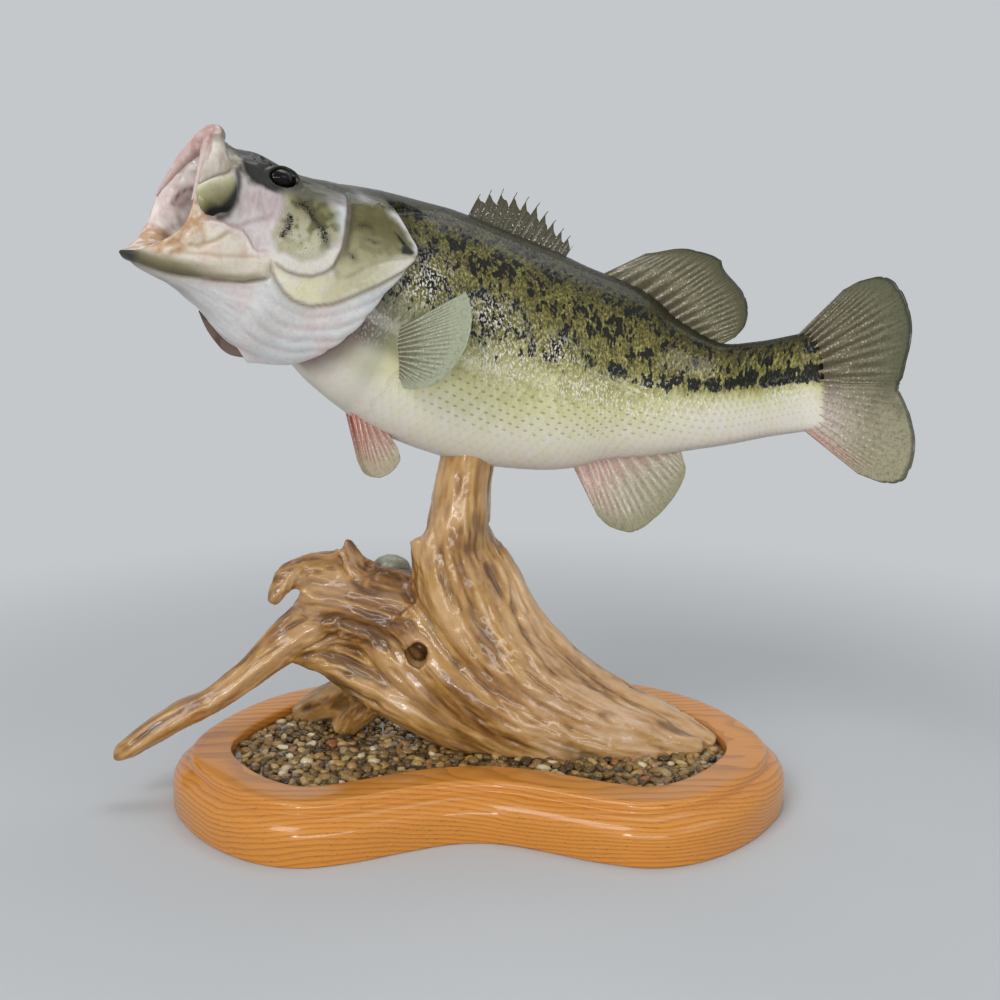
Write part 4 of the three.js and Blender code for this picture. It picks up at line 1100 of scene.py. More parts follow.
def build_scales(surface, side):
    """All scales of one flank, the nape included."""
    t, degrees = body_lattice().T
    line = np.interp(t, *LATERAL_LINE)
    here, there = (np.linalg.norm(body_point(t + 0.04, np.radians(a)) - body_point(t - 0.04, np.radians(a)),
                                  axis=-1) for a in (degrees, line))
    length = 1.9 * np.interp(t, *SCALE_PITCH) * np.clip(here / there, 0.8, 1.4)
    half = 1.04 * np.interp(t, *SCALE_GAP)
    lift = 0.5 - 0.37 * smooth(degrees, 92, 120) - 0.34 * smooth(degrees, 46, 24)
    lift *= (1 - 0.5 * smooth(t, 8.4, 9.3)) * (1 - 0.35 * smooth(t, 2.2, 1.5))
    body = (row_of_station(surface, t), degrees / 360 * COLUMNS, length, half, lift)
    row, col = nape_lattice(surface).T
    small = np.interp(row, [row.min(), row.max()], [0.72, 1])
    nape = (row, col, 8.2 * small, 5.8 * small, 0.15 * small)
    rows, cols, *sizes = (np.concatenate(pair) for pair in zip(body, nape))
    name, seed = ("bass_scales_left", 3) if side > 0 else ("bass_scales_right", 4)
    return scale_pieces(name, surface, np.stack([rows, cols * side], -1), *sizes, seed)


def build_head_scales(surface):
    """Small scales on the cheeks of both sides."""
    spots = head_lattice(surface, SCALED_CHEEK, 2.3, 1.5, (38, 112))
    spots = np.concatenate([spots, spots * (1, -1)])
    size = np.ones(len(spots))
    return scale_pieces("bass_scales_head", surface, spots, 4.6 * size, 1.65 * size, 0.1 * size, 5)


# ---- eyes ----------------------------------------------------------------------------------
EYE_SIZE = EYE_RADIUS - 0.1
EYE_SUNK = (0, 0, 0.9)


def ball(polar, angle):
    """Three parts of the unit vectors at polar angles down the rows and angles along them."""
    polar, angle = np.meshgrid(polar, angle, indexing="ij")
    return np.sin(polar) * np.cos(angle), np.sin(polar) * np.sin(angle), np.cos(polar)


def build_eye(name, side):
    """Glass eye: a ball on the gaze axis, slanted and flattened as the lids are."""
    axis = unit(GAZE * (1, side, 1))
    level = unit(np.cross(axis, (0, 0, 1.0)))
    down = np.cross(axis, level)
    across = level * LEVEL + down * TILT * side
    third = down * LEVEL - level * TILT * side
    polar = np.linspace(0, math.pi, 49)[1:-1]
    a = np.arange(64) / 64 * 2 * math.pi
    x, y, z = (part[..., None] for part in ball(polar, a))
    centre = (EYE_CENTRE - EYE_SUNK) * (1, side, 1)
    points, faces = lofted(centre + (z * axis + x * across + y * third * 0.68) * EYE_SIZE)
    points[-2:] = centre + np.array([axis, -axis]) * EYE_SIZE
    eye = mesh_object(name, from_head(points), faces)
    angle = np.concatenate([np.repeat(polar, 64), [0, math.pi]])
    turn = np.concatenate([np.tile(a, len(polar)), [0, 0]])
    add_marks(eye.data, {"polar": np.degrees(angle), "turn": np.cos(turn * 9)})
    return eye


# ---- fins ----------------------------------------------------------------------------------


def spread(rows, u):
    return along(rows, u * (len(rows) - 1))


def ray_ridges(u, v, rays, spiny):
    """Height of the fin rays: each divides in two and then in four towards the edge."""
    def comb(count, sharp):
        return bell((u * count) % 1 - 0.5, sharp)
    if spiny:
        return comb(rays, 0.12)
    one = comb(rays, 0.16) * smooth(v, 0.62, 0.3)
    two = comb(rays * 2, 0.2) * window(v, 0.25, 0.5, 0.7, 0.95)
    four = comb(rays * 4, 0.26) * smooth(v, 0.66, 0.86)
    return np.maximum(np.maximum(one, 0.8 * two), 0.6 * four)


def build_fin(roots, tips, rays, root_half, tip_half=0.22, camber=0.0, spiny=False, ragged=0.01,
              turn=0.0):
    """Closed fin between root and tip lines given as functions of the place across."""
    columns = rays * (14 if spiny else 9) + 1
    across = np.linspace(0, 1, columns)
    v, u = np.meshgrid(np.linspace(0, 1, 44) ** 0.9, across, indexing="ij")
    root, tip = roots(across), tips(across)
    notch = 0.06 + 0.3 * ((across * rays) % 1) ** 0.6 if spiny else 0.0
    wear = ragged * turbulence(np.stack([across * rays * 2.2, 0 * across, 0 * across], -1), 1.0, 1)
    tip = tip + (root - tip) * np.clip(notch + wear, 0, 1)[:, None]
    half_way = np.array([0.5])
    normal = unit(np.cross(root[-1] - root[0], tips(half_way)[0] - roots(half_way)[0]))
    bend = camber * np.sin(np.pi * v * 0.5) * np.sin(np.pi * u) + turn * np.sin(u * 5.2 + 0.8) * v**1.4
    centre = root * (1 - v[..., None]) + tip * v[..., None] + normal * bend[..., None]
    ridge = ray_ridges(u, v, rays, spiny)
    edge = smooth(v, 1.0, 0.97) * window(u, 0, 0.012, 0.988, 1.0)
    membrane = root_half * 0.42 * (1 - v) ** 1.3 + tip_half
    half = (membrane + (0.55 * root_half * (1 - v) ** 0.6 + 0.12) * ridge) * (0.35 + 0.65 * edge)
    points = np.concatenate([centre + normal * half[..., None], centre - normal * half[..., None]])
    at = np.arange(v.size).reshape(v.shape)
    rim = np.concatenate([at[0, :-1], at[:-1, -1], at[-1, :0:-1], at[:0:-1, 0]])
    side = np.stack([rim, rim + v.size, np.roll(rim, -1) + v.size, np.roll(rim, -1)], -1)
    sheet = grid_faces(*v.shape, closed=False)
    if edges_agree(sheet, side) < edges_agree(sheet, side[:, ::-1]):
        side = side[:, ::-1]
    marks = {name: np.tile(values.ravel(), 2)
             for name, values in (("reach", v), ("ray", ridge), ("share", u))}
    points = points.reshape(-1, 3)
    return points, facing_out(points, [sheet, sheet[:, ::-1] + v.size, side]), marks


def edges_agree(first, second):
    """How many directed edges of the first faces meet their opposite in the second."""
    def directed(group):
        return set(map(tuple, np.stack([group, np.roll(group, -1, axis=1)], -1).reshape(-1, 2).tolist()))
    second = directed(second)
    return sum((b, a) in second for a, b in directed(first))


def add_spines(points, faces, marks, roots, tips, count, radius, over):
    """Adds a stiff pointed spine along each ray of a fin, standing over the membrane."""
    parts = [(points, faces)]
    foot, end = roots(np.array([0.0, 1.0]))
    wide = unit(end - foot)
    f = np.linspace(0, 1, 9)[:, None]
    lean = wide * 2.0 * np.clip(f - 0.8, 0, 1)
    size = np.repeat(radius * (1 - 0.97 * f**1.5), 2, axis=1)
    marks = {name: [values] for name, values in marks.items()}
    for k in range(count):
        u = np.array([k / count + 0.002])
        low, high = roots(u)[0], tips(u)[0]
        middle = low * (1 - f) + (low + (high - low) * over) * f + lean
        loops, place, _ = tube(np.hstack([middle, size]), 15, 8, wide)
        parts.append(lofted(loops))
        marks["reach"].append(with_poles(place))
        marks["ray"].append(np.ones(len(parts[-1][0])))
        marks["share"].append(np.full(len(parts[-1][0]), k / count))
    return *joined(parts), {name: np.concatenate(values) for name, values in marks.items()}


SPINY_ROOT = [(2.36, 70), (2.75, 71), (3.1, 71), (3.5, 69), (3.86, 66)]
SPINY_TIP = [(2.4, 93), (2.62, 102), (2.96, 104), (3.29, 102), (3.55, 95), (3.8, 88), (4.0, 82)]
SOFT_ROOT = [(4.5, 60), (5.1, 53), (5.7, 44), (6.3, 36), (6.88, 28)]
SOFT_TIP = [(5.1, 80), (5.6, 87.5), (6.3, 87), (7.0, 81.5), (7.5, 72), (7.8, 61), (7.88, 50), (7.8, 40),
            (7.55, 34)]
ANAL_ROOT = [(4.55, -58), (5.1, -52), (5.6, -45), (6.1, -39), (6.5, -34)]
ANAL_TIP = [(5.55, -90), (5.8, -95), (6.05, -94), (6.28, -85), (6.5, -70), (6.62, -57), (6.65, -48.5),
            (6.6, -43)]
CAUDAL_ROOT = [(9.012, 28), (9.012, 14), (9.012, 0), (9.012, -14), (9.012, -28)]
CAUDAL_TIP = [(10.2, 48), (10.7, 51), (11.2, 49), (11.52, 38), (11.63, 18), (11.35, -6), (11.24, -12),
              (11.42, -26), (11.48, -44), (11.24, -60.5), (10.8, -62.5), (10.2, -56)]
PECTORAL_ROOT = [(1.83, 105, -3), (1.91, 112, -3), (2.04, 119, -3), (2.15, 126, -3)]
PECTORAL_TIP = [(2.44, 81, 22), (2.6, 86, 26), (2.71, 92, 28), (2.73, 101, 28), (2.59, 112, 24),
                (2.34, 120, 18), (2.2, 125, 10)]
PELVIC_ROOT = [(1.86, -70, 6), (2.05, -71, 6), (2.28, -71, 6)]
PELVIC_TIP = [(2.2, -97, 9), (2.32, -103, 10), (2.44, -103, 10), (2.55, -97, 10), (2.6, -88, 9),
              (2.52, -81, 8)]


def on_middle(rows, side=0):
    def place(u):
        p = spread(rows, u)
        return middle_point(p[:, 0], p[:, 1], p[:, 2] * side if p.shape[1] > 2 else 0.0 * p[:, 0])
    return place


def on_skin(rows, side):
    def place(u):
        p = spread(rows, u)
        return body_point(p[:, 0], np.radians(p[:, 1] * side), p[:, 2:3])
    return place


def paired_fins(side, name):
    """Rows of FINS for the pectoral and pelvic fin of one side."""
    return [("pectoral_" + name, "pectoral_fin_" + name, PECTORAL_ROOT, PECTORAL_TIP, on_skin, "pectoral",
             dict(rays=14, root_half=1.2, tip_half=0.2, camber=3 * side)),
            ("pelvic_" + name, "pelvic_fin_" + name, PELVIC_ROOT, PELVIC_TIP, on_middle, "pelvic",
             dict(rays=6, root_half=1.4, camber=2 * side))]


# Piece, node, lines of root and tip, how they lie, material, sizes for build_fin.
FINS = [
    ("dorsal_spiny", "dorsal_fin_spiny", SPINY_ROOT, SPINY_TIP, on_middle, "spiny",
     dict(rays=10, root_half=0.8, tip_half=0.2, spiny=True, ragged=0.04)),
    ("dorsal_soft", "dorsal_fin_soft", SOFT_ROOT, SOFT_TIP, on_middle, "dorsal",
     dict(rays=13, root_half=1.5, turn=1.0)),
    ("anal_fin", "anal_fin", ANAL_ROOT, ANAL_TIP, on_middle, "anal",
     dict(rays=10, root_half=1.4, turn=0.8)),
    ("caudal_fin", "caudal_fin", CAUDAL_ROOT, CAUDAL_TIP, on_middle, "caudal",
     dict(rays=18, root_half=1.6, tip_half=0.25, ragged=0.015, turn=1.2)),
    *paired_fins(1, "left"), *paired_fins(-1, "right")]


# ---- driftwood -----------------------------------------------------------------------------
STRANDS = [
    [(-5, 5, 236, 19, 17), (-10, 5, 205, 22, 18), (-13, 6, 172, 28, 22), (-10, 3, 145, 36, 25),
     (0, 0, 118, 38, 25), (14, -4, 92, 34, 22)],
    [(-5, 4, 150, 26, 20), (20, 4, 110, 24, 20), (52, 5, 79, 21, 18), (90, 5, 54, 18, 15),
     (125, 1, 41, 14, 12), (158, -5, 28, 8, 8)],
    [(-20, -2, 140, 26, 20), (2, -9, 104, 28, 20), (36, -14, 72, 27, 18), (76, -16, 50, 22, 16),
     (115, -15, 37, 17, 12), (146, -16, 28, 8, 8)],
    [(-45, 0, 122, 24, 18), (-24, -8, 98, 26, 18), (6, -16, 70, 26, 18), (40, -21, 47, 22, 15),
     (80, -24, 35, 18, 11), (118, -22, 28, 9, 8)],
    [(-66, 3, 112, 22, 15), (-45, -2, 90, 22, 16), (-18, -9, 66, 20, 16), (14, -18, 44, 18, 14),
     (46, -24, 32, 12, 11)],
    [(-122, 0, 92, 9, 9), (-100, 3, 87, 15, 12), (-75, 5, 72, 17, 14), (-45, 1, 54, 16, 14),
     (-15, -9, 42, 15, 14), (18, -20, 33, 12, 11)],
    [(-116, 0, 138, 14, 9), (-92, 3, 128, 27, 14), (-62, 4, 120, 30, 16), (-35, 3, 112, 28, 16)],
    [(-80, 5, 134, 17, 9), (-84, 8, 152, 9, 6), (-87, 10, 167, 2, 2)],
    [(-90, 4, 147, 14, 9), (-112, -1, 149, 11, 8), (-127, -7, 143, 9, 7), (-135, -13, 129, 4, 4)],
    [(-22, -4, 136, 18, 14), (-32, -3, 156, 14, 11), (-37, -2, 171, 10, 8.5)],
    [(-92, 2, 122, 20, 11), (-116, 0, 108, 18, 10), (-137, -3, 93, 13, 10), (-158, -9, 76, 10, 9),
     (-177, -14, 63, 8.5, 8.5), (-195, -20, 56, 9, 8), (-212, -26, 47, 9, 8), (-229, -31, 36, 7, 6.5),
     (-237, -33, 29, 3.5, 3.5)],
    [(-70, 10, 68, 17, 14), (-92, 24, 55, 14, 12), (-112, 38, 43, 12, 10), (-132, 50, 29, 8, 7)],
    [(-72, 10, 62, 16, 13), (-84, 16, 46, 14, 11), (-95, 22, 28, 11, 9)],
    [(0, 8, 122, 22, 20), (22, 32, 78, 17, 15), (48, 58, 40, 12, 11), (62, 72, 27, 8, 7)],
]
HOLE = [(-40, -34, 98, 9, 8), (-40, -14, 96, 8, 7), (-42, 2, 94, 4, 4)]


def strand_field():
    """Points along every strand with the grain's direction and the strand's size."""
    places, ways, sizes = [], [], []
    for rows in STRANDS:
        p = along(rows, np.linspace(0, len(rows) - 1, 10 * (len(rows) - 1) + 1))
        places.append(p[:, :3])
        ways.append(unit(np.gradient(p[:, :3], axis=0)))
        sizes.append(p[:, 3:5].mean(axis=1))
    return [np.concatenate(part) for part in (places, ways, sizes)]


def grain_of(points):
    """Grain direction at each point: the main axis of the strands round it."""
    places, ways, sizes = strand_field()
    spread_of = 0.55 * sizes + 4
    pairs = ways[:, :, None] * ways[:, None, :]
    made = []
    for chunk in np.array_split(points, max(1, len(points) // 4000)):
        d = np.linalg.norm(chunk[:, None] - places[None], axis=-1)
        w = np.exp(-((d / spread_of) ** 2)) + 1e-9 * np.exp(-d / 40)
        tensor = np.einsum("nk,kij->nij", w, pairs)
        made.append(np.linalg.eigh(tensor)[1][..., 2])
    return np.concatenate(made)


def streaks(points, way, size, seed, reach, steps=9):
    """Noise drawn out along the grain: its mean over short runs each way."""
    runs = np.linspace(-reach, reach, steps)
    total = sum(turbulence(points + way * run, size, seed, 1) for run in runs)
    return total / steps * 2.0


def applied(scratch, name):
    """Mesh of an object with its modifiers applied; the object itself goes."""
    graph = bpy.context.evaluated_depsgraph_get()
    mesh = bpy.data.meshes.new_from_object(scratch.evaluated_get(graph))
    mesh.name = name
    bpy.data.objects.remove(scratch)
    return mesh


def modified(points, faces, name, modifiers):
    """Mesh of points and faces with modifiers applied; each is a type and its settings."""
    scratch = mesh_object(name + "_rough", points, faces)
    for kind, settings in modifiers:
        added = scratch.modifiers.new(kind.lower(), kind)
        for key, value in settings.items():
            setattr(added, key, value)
    return applied(scratch, name)


def shown(mesh, smooth_shade=True):
    """Object for a mesh, linked to the scene."""
    mesh.polygons.foreach_set("use_smooth", [smooth_shade] * len(mesh.polygons))
    made = bpy.data.objects.new(mesh.name, mesh)
    bpy.context.scene.collection.objects.link(made)
    return made


def build_driftwood(voxel):
    """Weathered root: strands melted together, then grooved along the grain."""
    tubes = joined([lofted(tube(rows, 14 * (len(rows) - 1), 28, (0.1, 0.28, 1), 0.9)[0])
                    for rows in STRANDS])
    cutter = mesh_object("wood_hole", *lofted(tube(HOLE, 24, 24, (0, 0, 1))[0]))
    mesh = modified(*tubes, "driftwood_root", [
        ("REMESH", {"mode": "VOXEL", "voxel_size": voxel}),
        ("BOOLEAN", {"operation": "DIFFERENCE", "object": cutter, "solver": "FAST"}),
        ("REMESH", {"mode": "VOXEL", "voxel_size": voxel}),
        ("SMOOTH", {"factor": 0.5, "iterations": 5})])
    bpy.data.objects.remove(cutter)
    p = read(mesh.vertices, "co", 3).astype(float) / MM
    n = read(mesh.vertex_normals, "vector", 3).astype(float)
    way = grain_of(p)
    broad = streaks(p, way, 11, 1.0, 34, 13)
    middle = streaks(p, way, 4.4, 2.0, 32, 25)
    fine = streaks(p, way, 2.1, 3.0, 22, 31)
    ridged = 1 - np.abs(middle) * 3.2
    high = 2.2 * broad + 0.65 * np.clip(ridged, -1, 1) + 0.6 * fine
    high -= 1.5 * smooth(streaks(p, way, 6.5, 9.0, 28, 15), 0.24, 0.44) + 0.5
    p = p + n * high[:, None]
    p[:, 2] = np.where((p[:, 2] < 26) & (p[:, 0] > -186), 26, p[:, 2])
    mesh.vertices.foreach_set("co", (p * MM).astype(np.float32).ravel())
    mesh.update()
    stain = 0.2 * smooth(p[:, 0], -25, -60) * smooth(p[:, 2], 85, 115) - 0.12 * smooth(p[:, 0], 10, 60)
    add_marks(mesh, dict(zip(WOOD_MARKS, (broad, middle, fine, high, stain))))
    return shown(mesh)


# ---- base, gravel and stone ----------------------------------------------------------------
BASE_OUTLINE = [(0, 126), (55, 129), (99, 123), (135, 107), (166, 79), (189, 38), (201, -6), (197, -42),
                (179, -75), (156, -101), (129, -119), (101, -125), (72, -118), (45, -106), (20, -96),
                (0, -93)]
# Moulding: inset from the outline, height.
BASE_PROFILE = [(2, 0), (0.4, 0.5), (0, 2), (0, 16.2), (0.2, 17.8), (0.9, 20.5), (3.0, 24), (6.2, 26.5),
                (9.6, 28.0), (10.9, 28.3), (11.3, 28.6), (11.5, 29.4), (11.6, 31.6), (12.1, 33.4),
                (13.2, 34.6), (14.8, 35), (17, 35), (35.6, 35), (37.2, 34.6), (37.9, 33.6), (38, 32),
                (38, 10)]
POCKET_INSET = 38
STONE = ((-60, 24, 142), (14, 10, 11))


def outline_loop(inset, height, count):
    closed = BASE_OUTLINE + [(-x, y) for x, y in BASE_OUTLINE[-2:0:-1]]
    span = len(closed)
    rows = closed[-2:] + closed + closed[:3]
    at = np.arange(count) / count * span
    p, ahead, back = (along(rows, 2 + np.mod(at + step, span)) for step in (0, 0.3, -0.3))
    way = unit(ahead - back)
    loop = p + np.stack([way[:, 1], -way[:, 0]], -1) * inset
    return np.column_stack([loop, np.full(count, height)])


def filled(rim, centre, shares):
    """Loops drawn in from the rim towards the centre by the shares."""
    return np.array([rim * (1 - f) + np.array(centre) * f for f in shares])


def build_oak_base():
    points, faces = lofted(np.array([outline_loop(inset, height, 360) for inset, height in BASE_PROFILE]))
    base = mesh_object("oak_base_moulded", points, faces)
    base.data.set_sharp_from_angle(angle=math.radians(50))
    return base


def build_resin():
    """Bed of clear brown resin between the stones, rippled on top."""
    wall = [outline_loop(POCKET_INSET + 0.2, height, 240) for height in (10.3, 28.4)]
    top = filled(wall[-1], (0, 4, 29.0), np.linspace(0.015, 0.985, 40))
    top[..., 2] = 29.0 + 0.9 * turbulence(top * (1, 1, 0), 9, 4.0)
    return mesh_object("gravel_resin", *lofted(np.concatenate([wall, top])))


def build_pebbles(material, spacing, size):
    rows = filled(outline_loop(POCKET_INSET + 3.2, 29.6, 160), (0, 4, 29.6), np.linspace(0.02, 0.98, 8))
    sheet = mesh_object("pebble_ground", rows.reshape(-1, 3), grid_faces(len(rows), 160))
    if sheet.data.polygons[0].normal.z < 0:
        sheet.data.flip_normals()
    tree = pebble_tree()
    strewing = sheet.modifiers.new("pebbles", "NODES")
    strewing.node_group = tree
    values = {"Spacing": spacing, "Size": size, "Seed": 4, "Material": material}
    for item in tree.interface.items_tree:
        if item.in_out == "INPUT" and item.name in values:
            strewing[item.identifier] = values[item.name]
    mesh = applied(sheet, "gravel_pebbles")
    bpy.data.node_groups.remove(tree)
    return shown(mesh)


def build_stone():
    centre, size = STONE
    way = np.stack(ball(np.linspace(0, math.pi, 37)[1:-1], np.arange(56) / 56 * 2 * math.pi), -1)
    rough = 1 + 0.09 * turbulence(way, 0.9, 2.0) + 0.02 * turbulence(way, 0.2, 3.0)
    return mesh_object("river_stone_pebble", *lofted(way * rough[..., None] * size + centre))


# ---- materials -----------------------------------------------------------------------------
BACKDROP = "c4c8cb"
SEEN_BY = ("Camera", "Glossy", "Transmission")
WOOD_MARKS = ("broad", "middle", "fine", "high", "stain")


class Value:
    """A socket that takes arithmetic; each operation adds a Math node."""

    def __init__(self, nodes, socket):
        self.nodes, self.socket = nodes, socket

    def clamped(self):
        return self.nodes.node("ShaderNodeClamp", {}, {"Value": self, "Min": 0.0, "Max": 1.0})

    def scaled(self, factor):
        return self.nodes.node("ShaderNodeVectorMath", {"operation": "SCALE"}, {0: self, "Scale": factor})

    def between(self, low, high):
        """0 at low, 1 at high, smooth between."""
        return self.nodes.node("ShaderNodeMapRange", {"interpolation_type": "SMOOTHSTEP"},
                               {"Value": self, "From Min": low, "From Max": high,
                                "To Min": 0.0, "To Max": 1.0})


def add_arithmetic(name, operation):
    """Gives Value one operator, for a Value on either side of the sign."""
    def maths(nodes, first, second):
        return nodes.node("ShaderNodeMath", {"operation": operation}, {0: first, 1: second})
    setattr(Value, "__%s__" % name, lambda one, other: maths(one.nodes, one, other))
    setattr(Value, "__r%s__" % name, lambda one, other: maths(one.nodes, other, one))


for sign, maths_name in (("add", "ADD"), ("sub", "SUBTRACT"), ("mul", "MULTIPLY"),
                         ("truediv", "DIVIDE"), ("pow", "POWER")):
    add_arithmetic(sign, maths_name)


def rgba(code):
    return tuple(linear(code)) + (1.0,) if isinstance(code, str) else tuple(code)


class Nodes:
    """A node tree under construction."""

    def __init__(self, tree):
        self.tree = tree
        tree.nodes.clear()

    def node(self, kind, settings=None, inputs=None, out=0):
        """New node with its settings and inputs; returns one of its outputs."""
        made = self.tree.nodes.new(kind)
        for key, value in (settings or {}).items():
            setattr(made, key, value)
        for key, value in (inputs or {}).items():
            socket = made.inputs[key]
            if isinstance(value, Value):
                self.tree.links.new(value.socket, socket)
            else:
                socket.default_value = rgba(value) if socket.type == "RGBA" else value
        return Value(self, made.outputs[out]) if made.outputs else made

    def seen(self):
        """1 for what the camera sees, directly or in a reflection."""
        rays = [self.node("ShaderNodeLightPath", out="Is %s Ray" % kind) for kind in SEEN_BY]
        return (rays[0] + rays[1] + rays[2]).clamped()


class Shade(Nodes):
    """A material under construction."""

    def __init__(self, name):
        self.material = bpy.data.materials.new(name)
        self.material.use_nodes = True
        super().__init__(self.material.node_tree)

    def mark(self, name, out="Fac"):
        return self.node("ShaderNodeAttribute", {"attribute_name": name}, {}, out)

    def place(self, scale=(1, 1, 1)):
        """Object coordinates in millimetres, stretched by scale."""
        where = self.node("ShaderNodeTexCoord", out="Object")
        return self.node("ShaderNodeVectorMath", {"operation": "MULTIPLY"},
                         {0: where, 1: tuple(1000.0 * s for s in scale)})

    def noise(self, scale, detail=2.0, stretch=(1, 1, 1), where=None):
        return self.node("ShaderNodeTexNoise", {},
                         {"Vector": where or self.place(stretch), "Scale": scale, "Detail": detail})

    def ramp(self, value, *stops):
        made = self.node("ShaderNodeValToRGB", {}, {"Fac": value})
        ramp = made.socket.node.color_ramp.elements
        ramp.remove(ramp[-1])
        ramp[0].position, ramp[0].color = stops[0][0], rgba(stops[0][1])
        for place, code in stops[1:]:
            ramp.new(place).color = rgba(code)
        return made

    def mix(self, share, a, b, blend="MIX"):
        return self.node("ShaderNodeMix", {"data_type": "RGBA", "blend_type": blend},
                         {"Factor": share, 6: a, 7: b}, 2)

    def layers(self, colour, *pairs):
        """The colour with others laid over it, each by its share."""
        for share, code in pairs:
            colour = self.mix(share, colour, code)
        return colour

    def bump(self, height, strength, distance):
        return self.node("ShaderNodeBump", {},
                         {"Height": height, "Strength": strength, "Distance": distance})

    def surface(self, **inputs):
        """Finishes the material with one Principled shader; names use _ for a space."""
        return self.finished(self.node("ShaderNodeBsdfPrincipled", {},
                                       {key.replace("_", " "): value for key, value in inputs.items()}))

    def finished(self, shader):
        self.node("ShaderNodeOutputMaterial", {}, {"Surface": shader})
        return self.material


PEBBLE_INPUTS = (("Geometry", "Geometry", None), ("Spacing", "Float", 0.0032),
                 ("Density", "Float", 90000.0), ("Size", "Float", 0.0031),
                 ("Seed", "Int", 4), ("Material", "Material", None))


def pebble_tree():
    """Geometry Nodes: pebbles strewn over a surface, each turned, stretched and dented."""
    tree = bpy.data.node_groups.new("pebbles", "GeometryNodeTree")
    tree.interface.new_socket("Geometry", in_out="OUTPUT", socket_type="NodeSocketGeometry")
    for name, kind, default in PEBBLE_INPUTS:
        socket = tree.interface.new_socket(name, in_out="INPUT", socket_type="NodeSocket" + kind)
        if default is not None:
            socket.default_value = default
    nodes = Nodes(tree)
    node = nodes.node
    given = {name: node("NodeGroupInput", out=name) for name, _, _ in PEBBLE_INPUTS}

    def vectors(low, high, seed):
        return node("FunctionNodeRandomValue", {"data_type": "FLOAT_VECTOR"},
                    {0: low, 1: high, "Seed": seed})

    def numbers(low, high, seed):
        return node("FunctionNodeRandomValue", {"data_type": "FLOAT"},
                    {2: low, 3: high, "Seed": seed}, 1)

    strewn = node("GeometryNodeDistributePointsOnFaces", {"distribute_method": "POISSON"},
                  {"Mesh": given["Geometry"], "Distance Min": given["Spacing"],
                   "Density Max": given["Density"], "Seed": given["Seed"]})
    cube = node("GeometryNodeMeshCube", {}, {"Size": (1.9, 1.9, 1.9)})
    lump = node("GeometryNodeSubdivisionSurface", {}, {"Mesh": cube, "Level": 1})
    shape = vectors((0.75, 0.55, 0.45), (1.45, 1.0, 0.72), 2)
    size = shape.scaled(numbers(0.72, 1.25, 3)).scaled(given["Size"])
    placed = node("GeometryNodeInstanceOnPoints", {},
                  {"Points": strewn, "Instance": lump, "Scale": size,
                   "Rotation": vectors((-0.35, -0.35, 0.0), (0.35, 0.35, 6.28), 1)})
    kept = node("GeometryNodeStoreNamedAttribute", {"data_type": "FLOAT", "domain": "INSTANCE"},
                {"Geometry": placed, "Name": "luck", "Value": numbers(0.0, 1.0, 9)})
    solid = node("GeometryNodeRealizeInstances", {}, {"Geometry": kept})
    bumps = node("ShaderNodeTexNoise", {}, {"Scale": 260.0, "Detail": 1.0}, "Color")
    centred = node("ShaderNodeVectorMath", {"operation": "SUBTRACT"}, {0: bumps, 1: (0.5, 0.5, 0.5)})
    dented = node("GeometryNodeSetPosition", {}, {"Geometry": solid, "Offset": centred.scaled(0.0028)})
    even = node("GeometryNodeSetShadeSmooth", {}, {0: dented})
    done = node("GeometryNodeSetMaterial", {}, {"Geometry": even, "Material": given["Material"]})
    node("NodeGroupOutput", {}, {0: done})
    return tree


TONE_STOPS = ((0.0, "1f2018"), (0.12, "302e1a"), (0.3, "49441f"), (0.45, "716b36"), (0.58, "a39e60"),
              (0.72, "d0cd97"), (0.88, "e2dec6"), (1.0, "e6e0d6"))


def skin_colour(shade, luck=0.5):
    """Markings shared by the skin and the scales: tone, painted tint, flecks, black mottle and painted
    glints.
    """
    tone, mottle, face = (shade.mark(name) for name in ("tone", "mottle", "face"))
    cloud, fleck = shade.noise(0.09, 3.0), shade.noise(0.5, 3.0, (1.6, 1.6, 0.8))
    upper = tone.between(0.02, 0.2) * tone.between(0.62, 0.45)
    shift = (cloud - 0.5) * 0.14 + (fleck - 0.5) * 0.8 * upper + (luck - 0.5) * 0.07
    base = shade.ramp(tone + shift, *TONE_STOPS)
    wide, fine = shade.noise(0.15, 2.0, (1.3, 1.2, 0.7)), shade.noise(0.3, 4.0, (1.7, 1.4, 0.6))
    body = (wide - 0.5) * 1.5 + (fine - 0.5) * 1.3
    tiny = shade.noise(0.95, 3.0)
    level = mottle + body * (1 - face * 0.85) + (tiny - 0.5) * face * 1.3 + (luck - 0.5) * 0.1
    ink = level.between(0.45, 0.53) * mottle.between(0.03, 0.14)
    # painted glints: near-white specks of light on the flank patches
    glint_specks = shade.noise(0.62, 3.0, (1.5, 1.5, 0.75)).between(0.515, 0.59)
    return shade.layers(base, (shade.mark("tint", "Alpha"), shade.mark("tint", "Color")),
                        (ink * 0.97, "070705"), (glint_specks * shade.mark("silver") * 0.9, "f0ece4"))


def varnished(shade, colour, rough, normal, gloss, coat_roughness):
    """Clear coat over skin and scales, thin along the dark back."""
    coat = (0.3 + shade.mark("tone").between(0.02, 0.34) * 0.7) * gloss
    return shade.surface(Base_Color=colour, Roughness=rough, Normal=normal, Coat_Weight=coat,
                         Coat_Roughness=coat_roughness, Coat_IOR=1.38, Specular_IOR_Level=0.12)


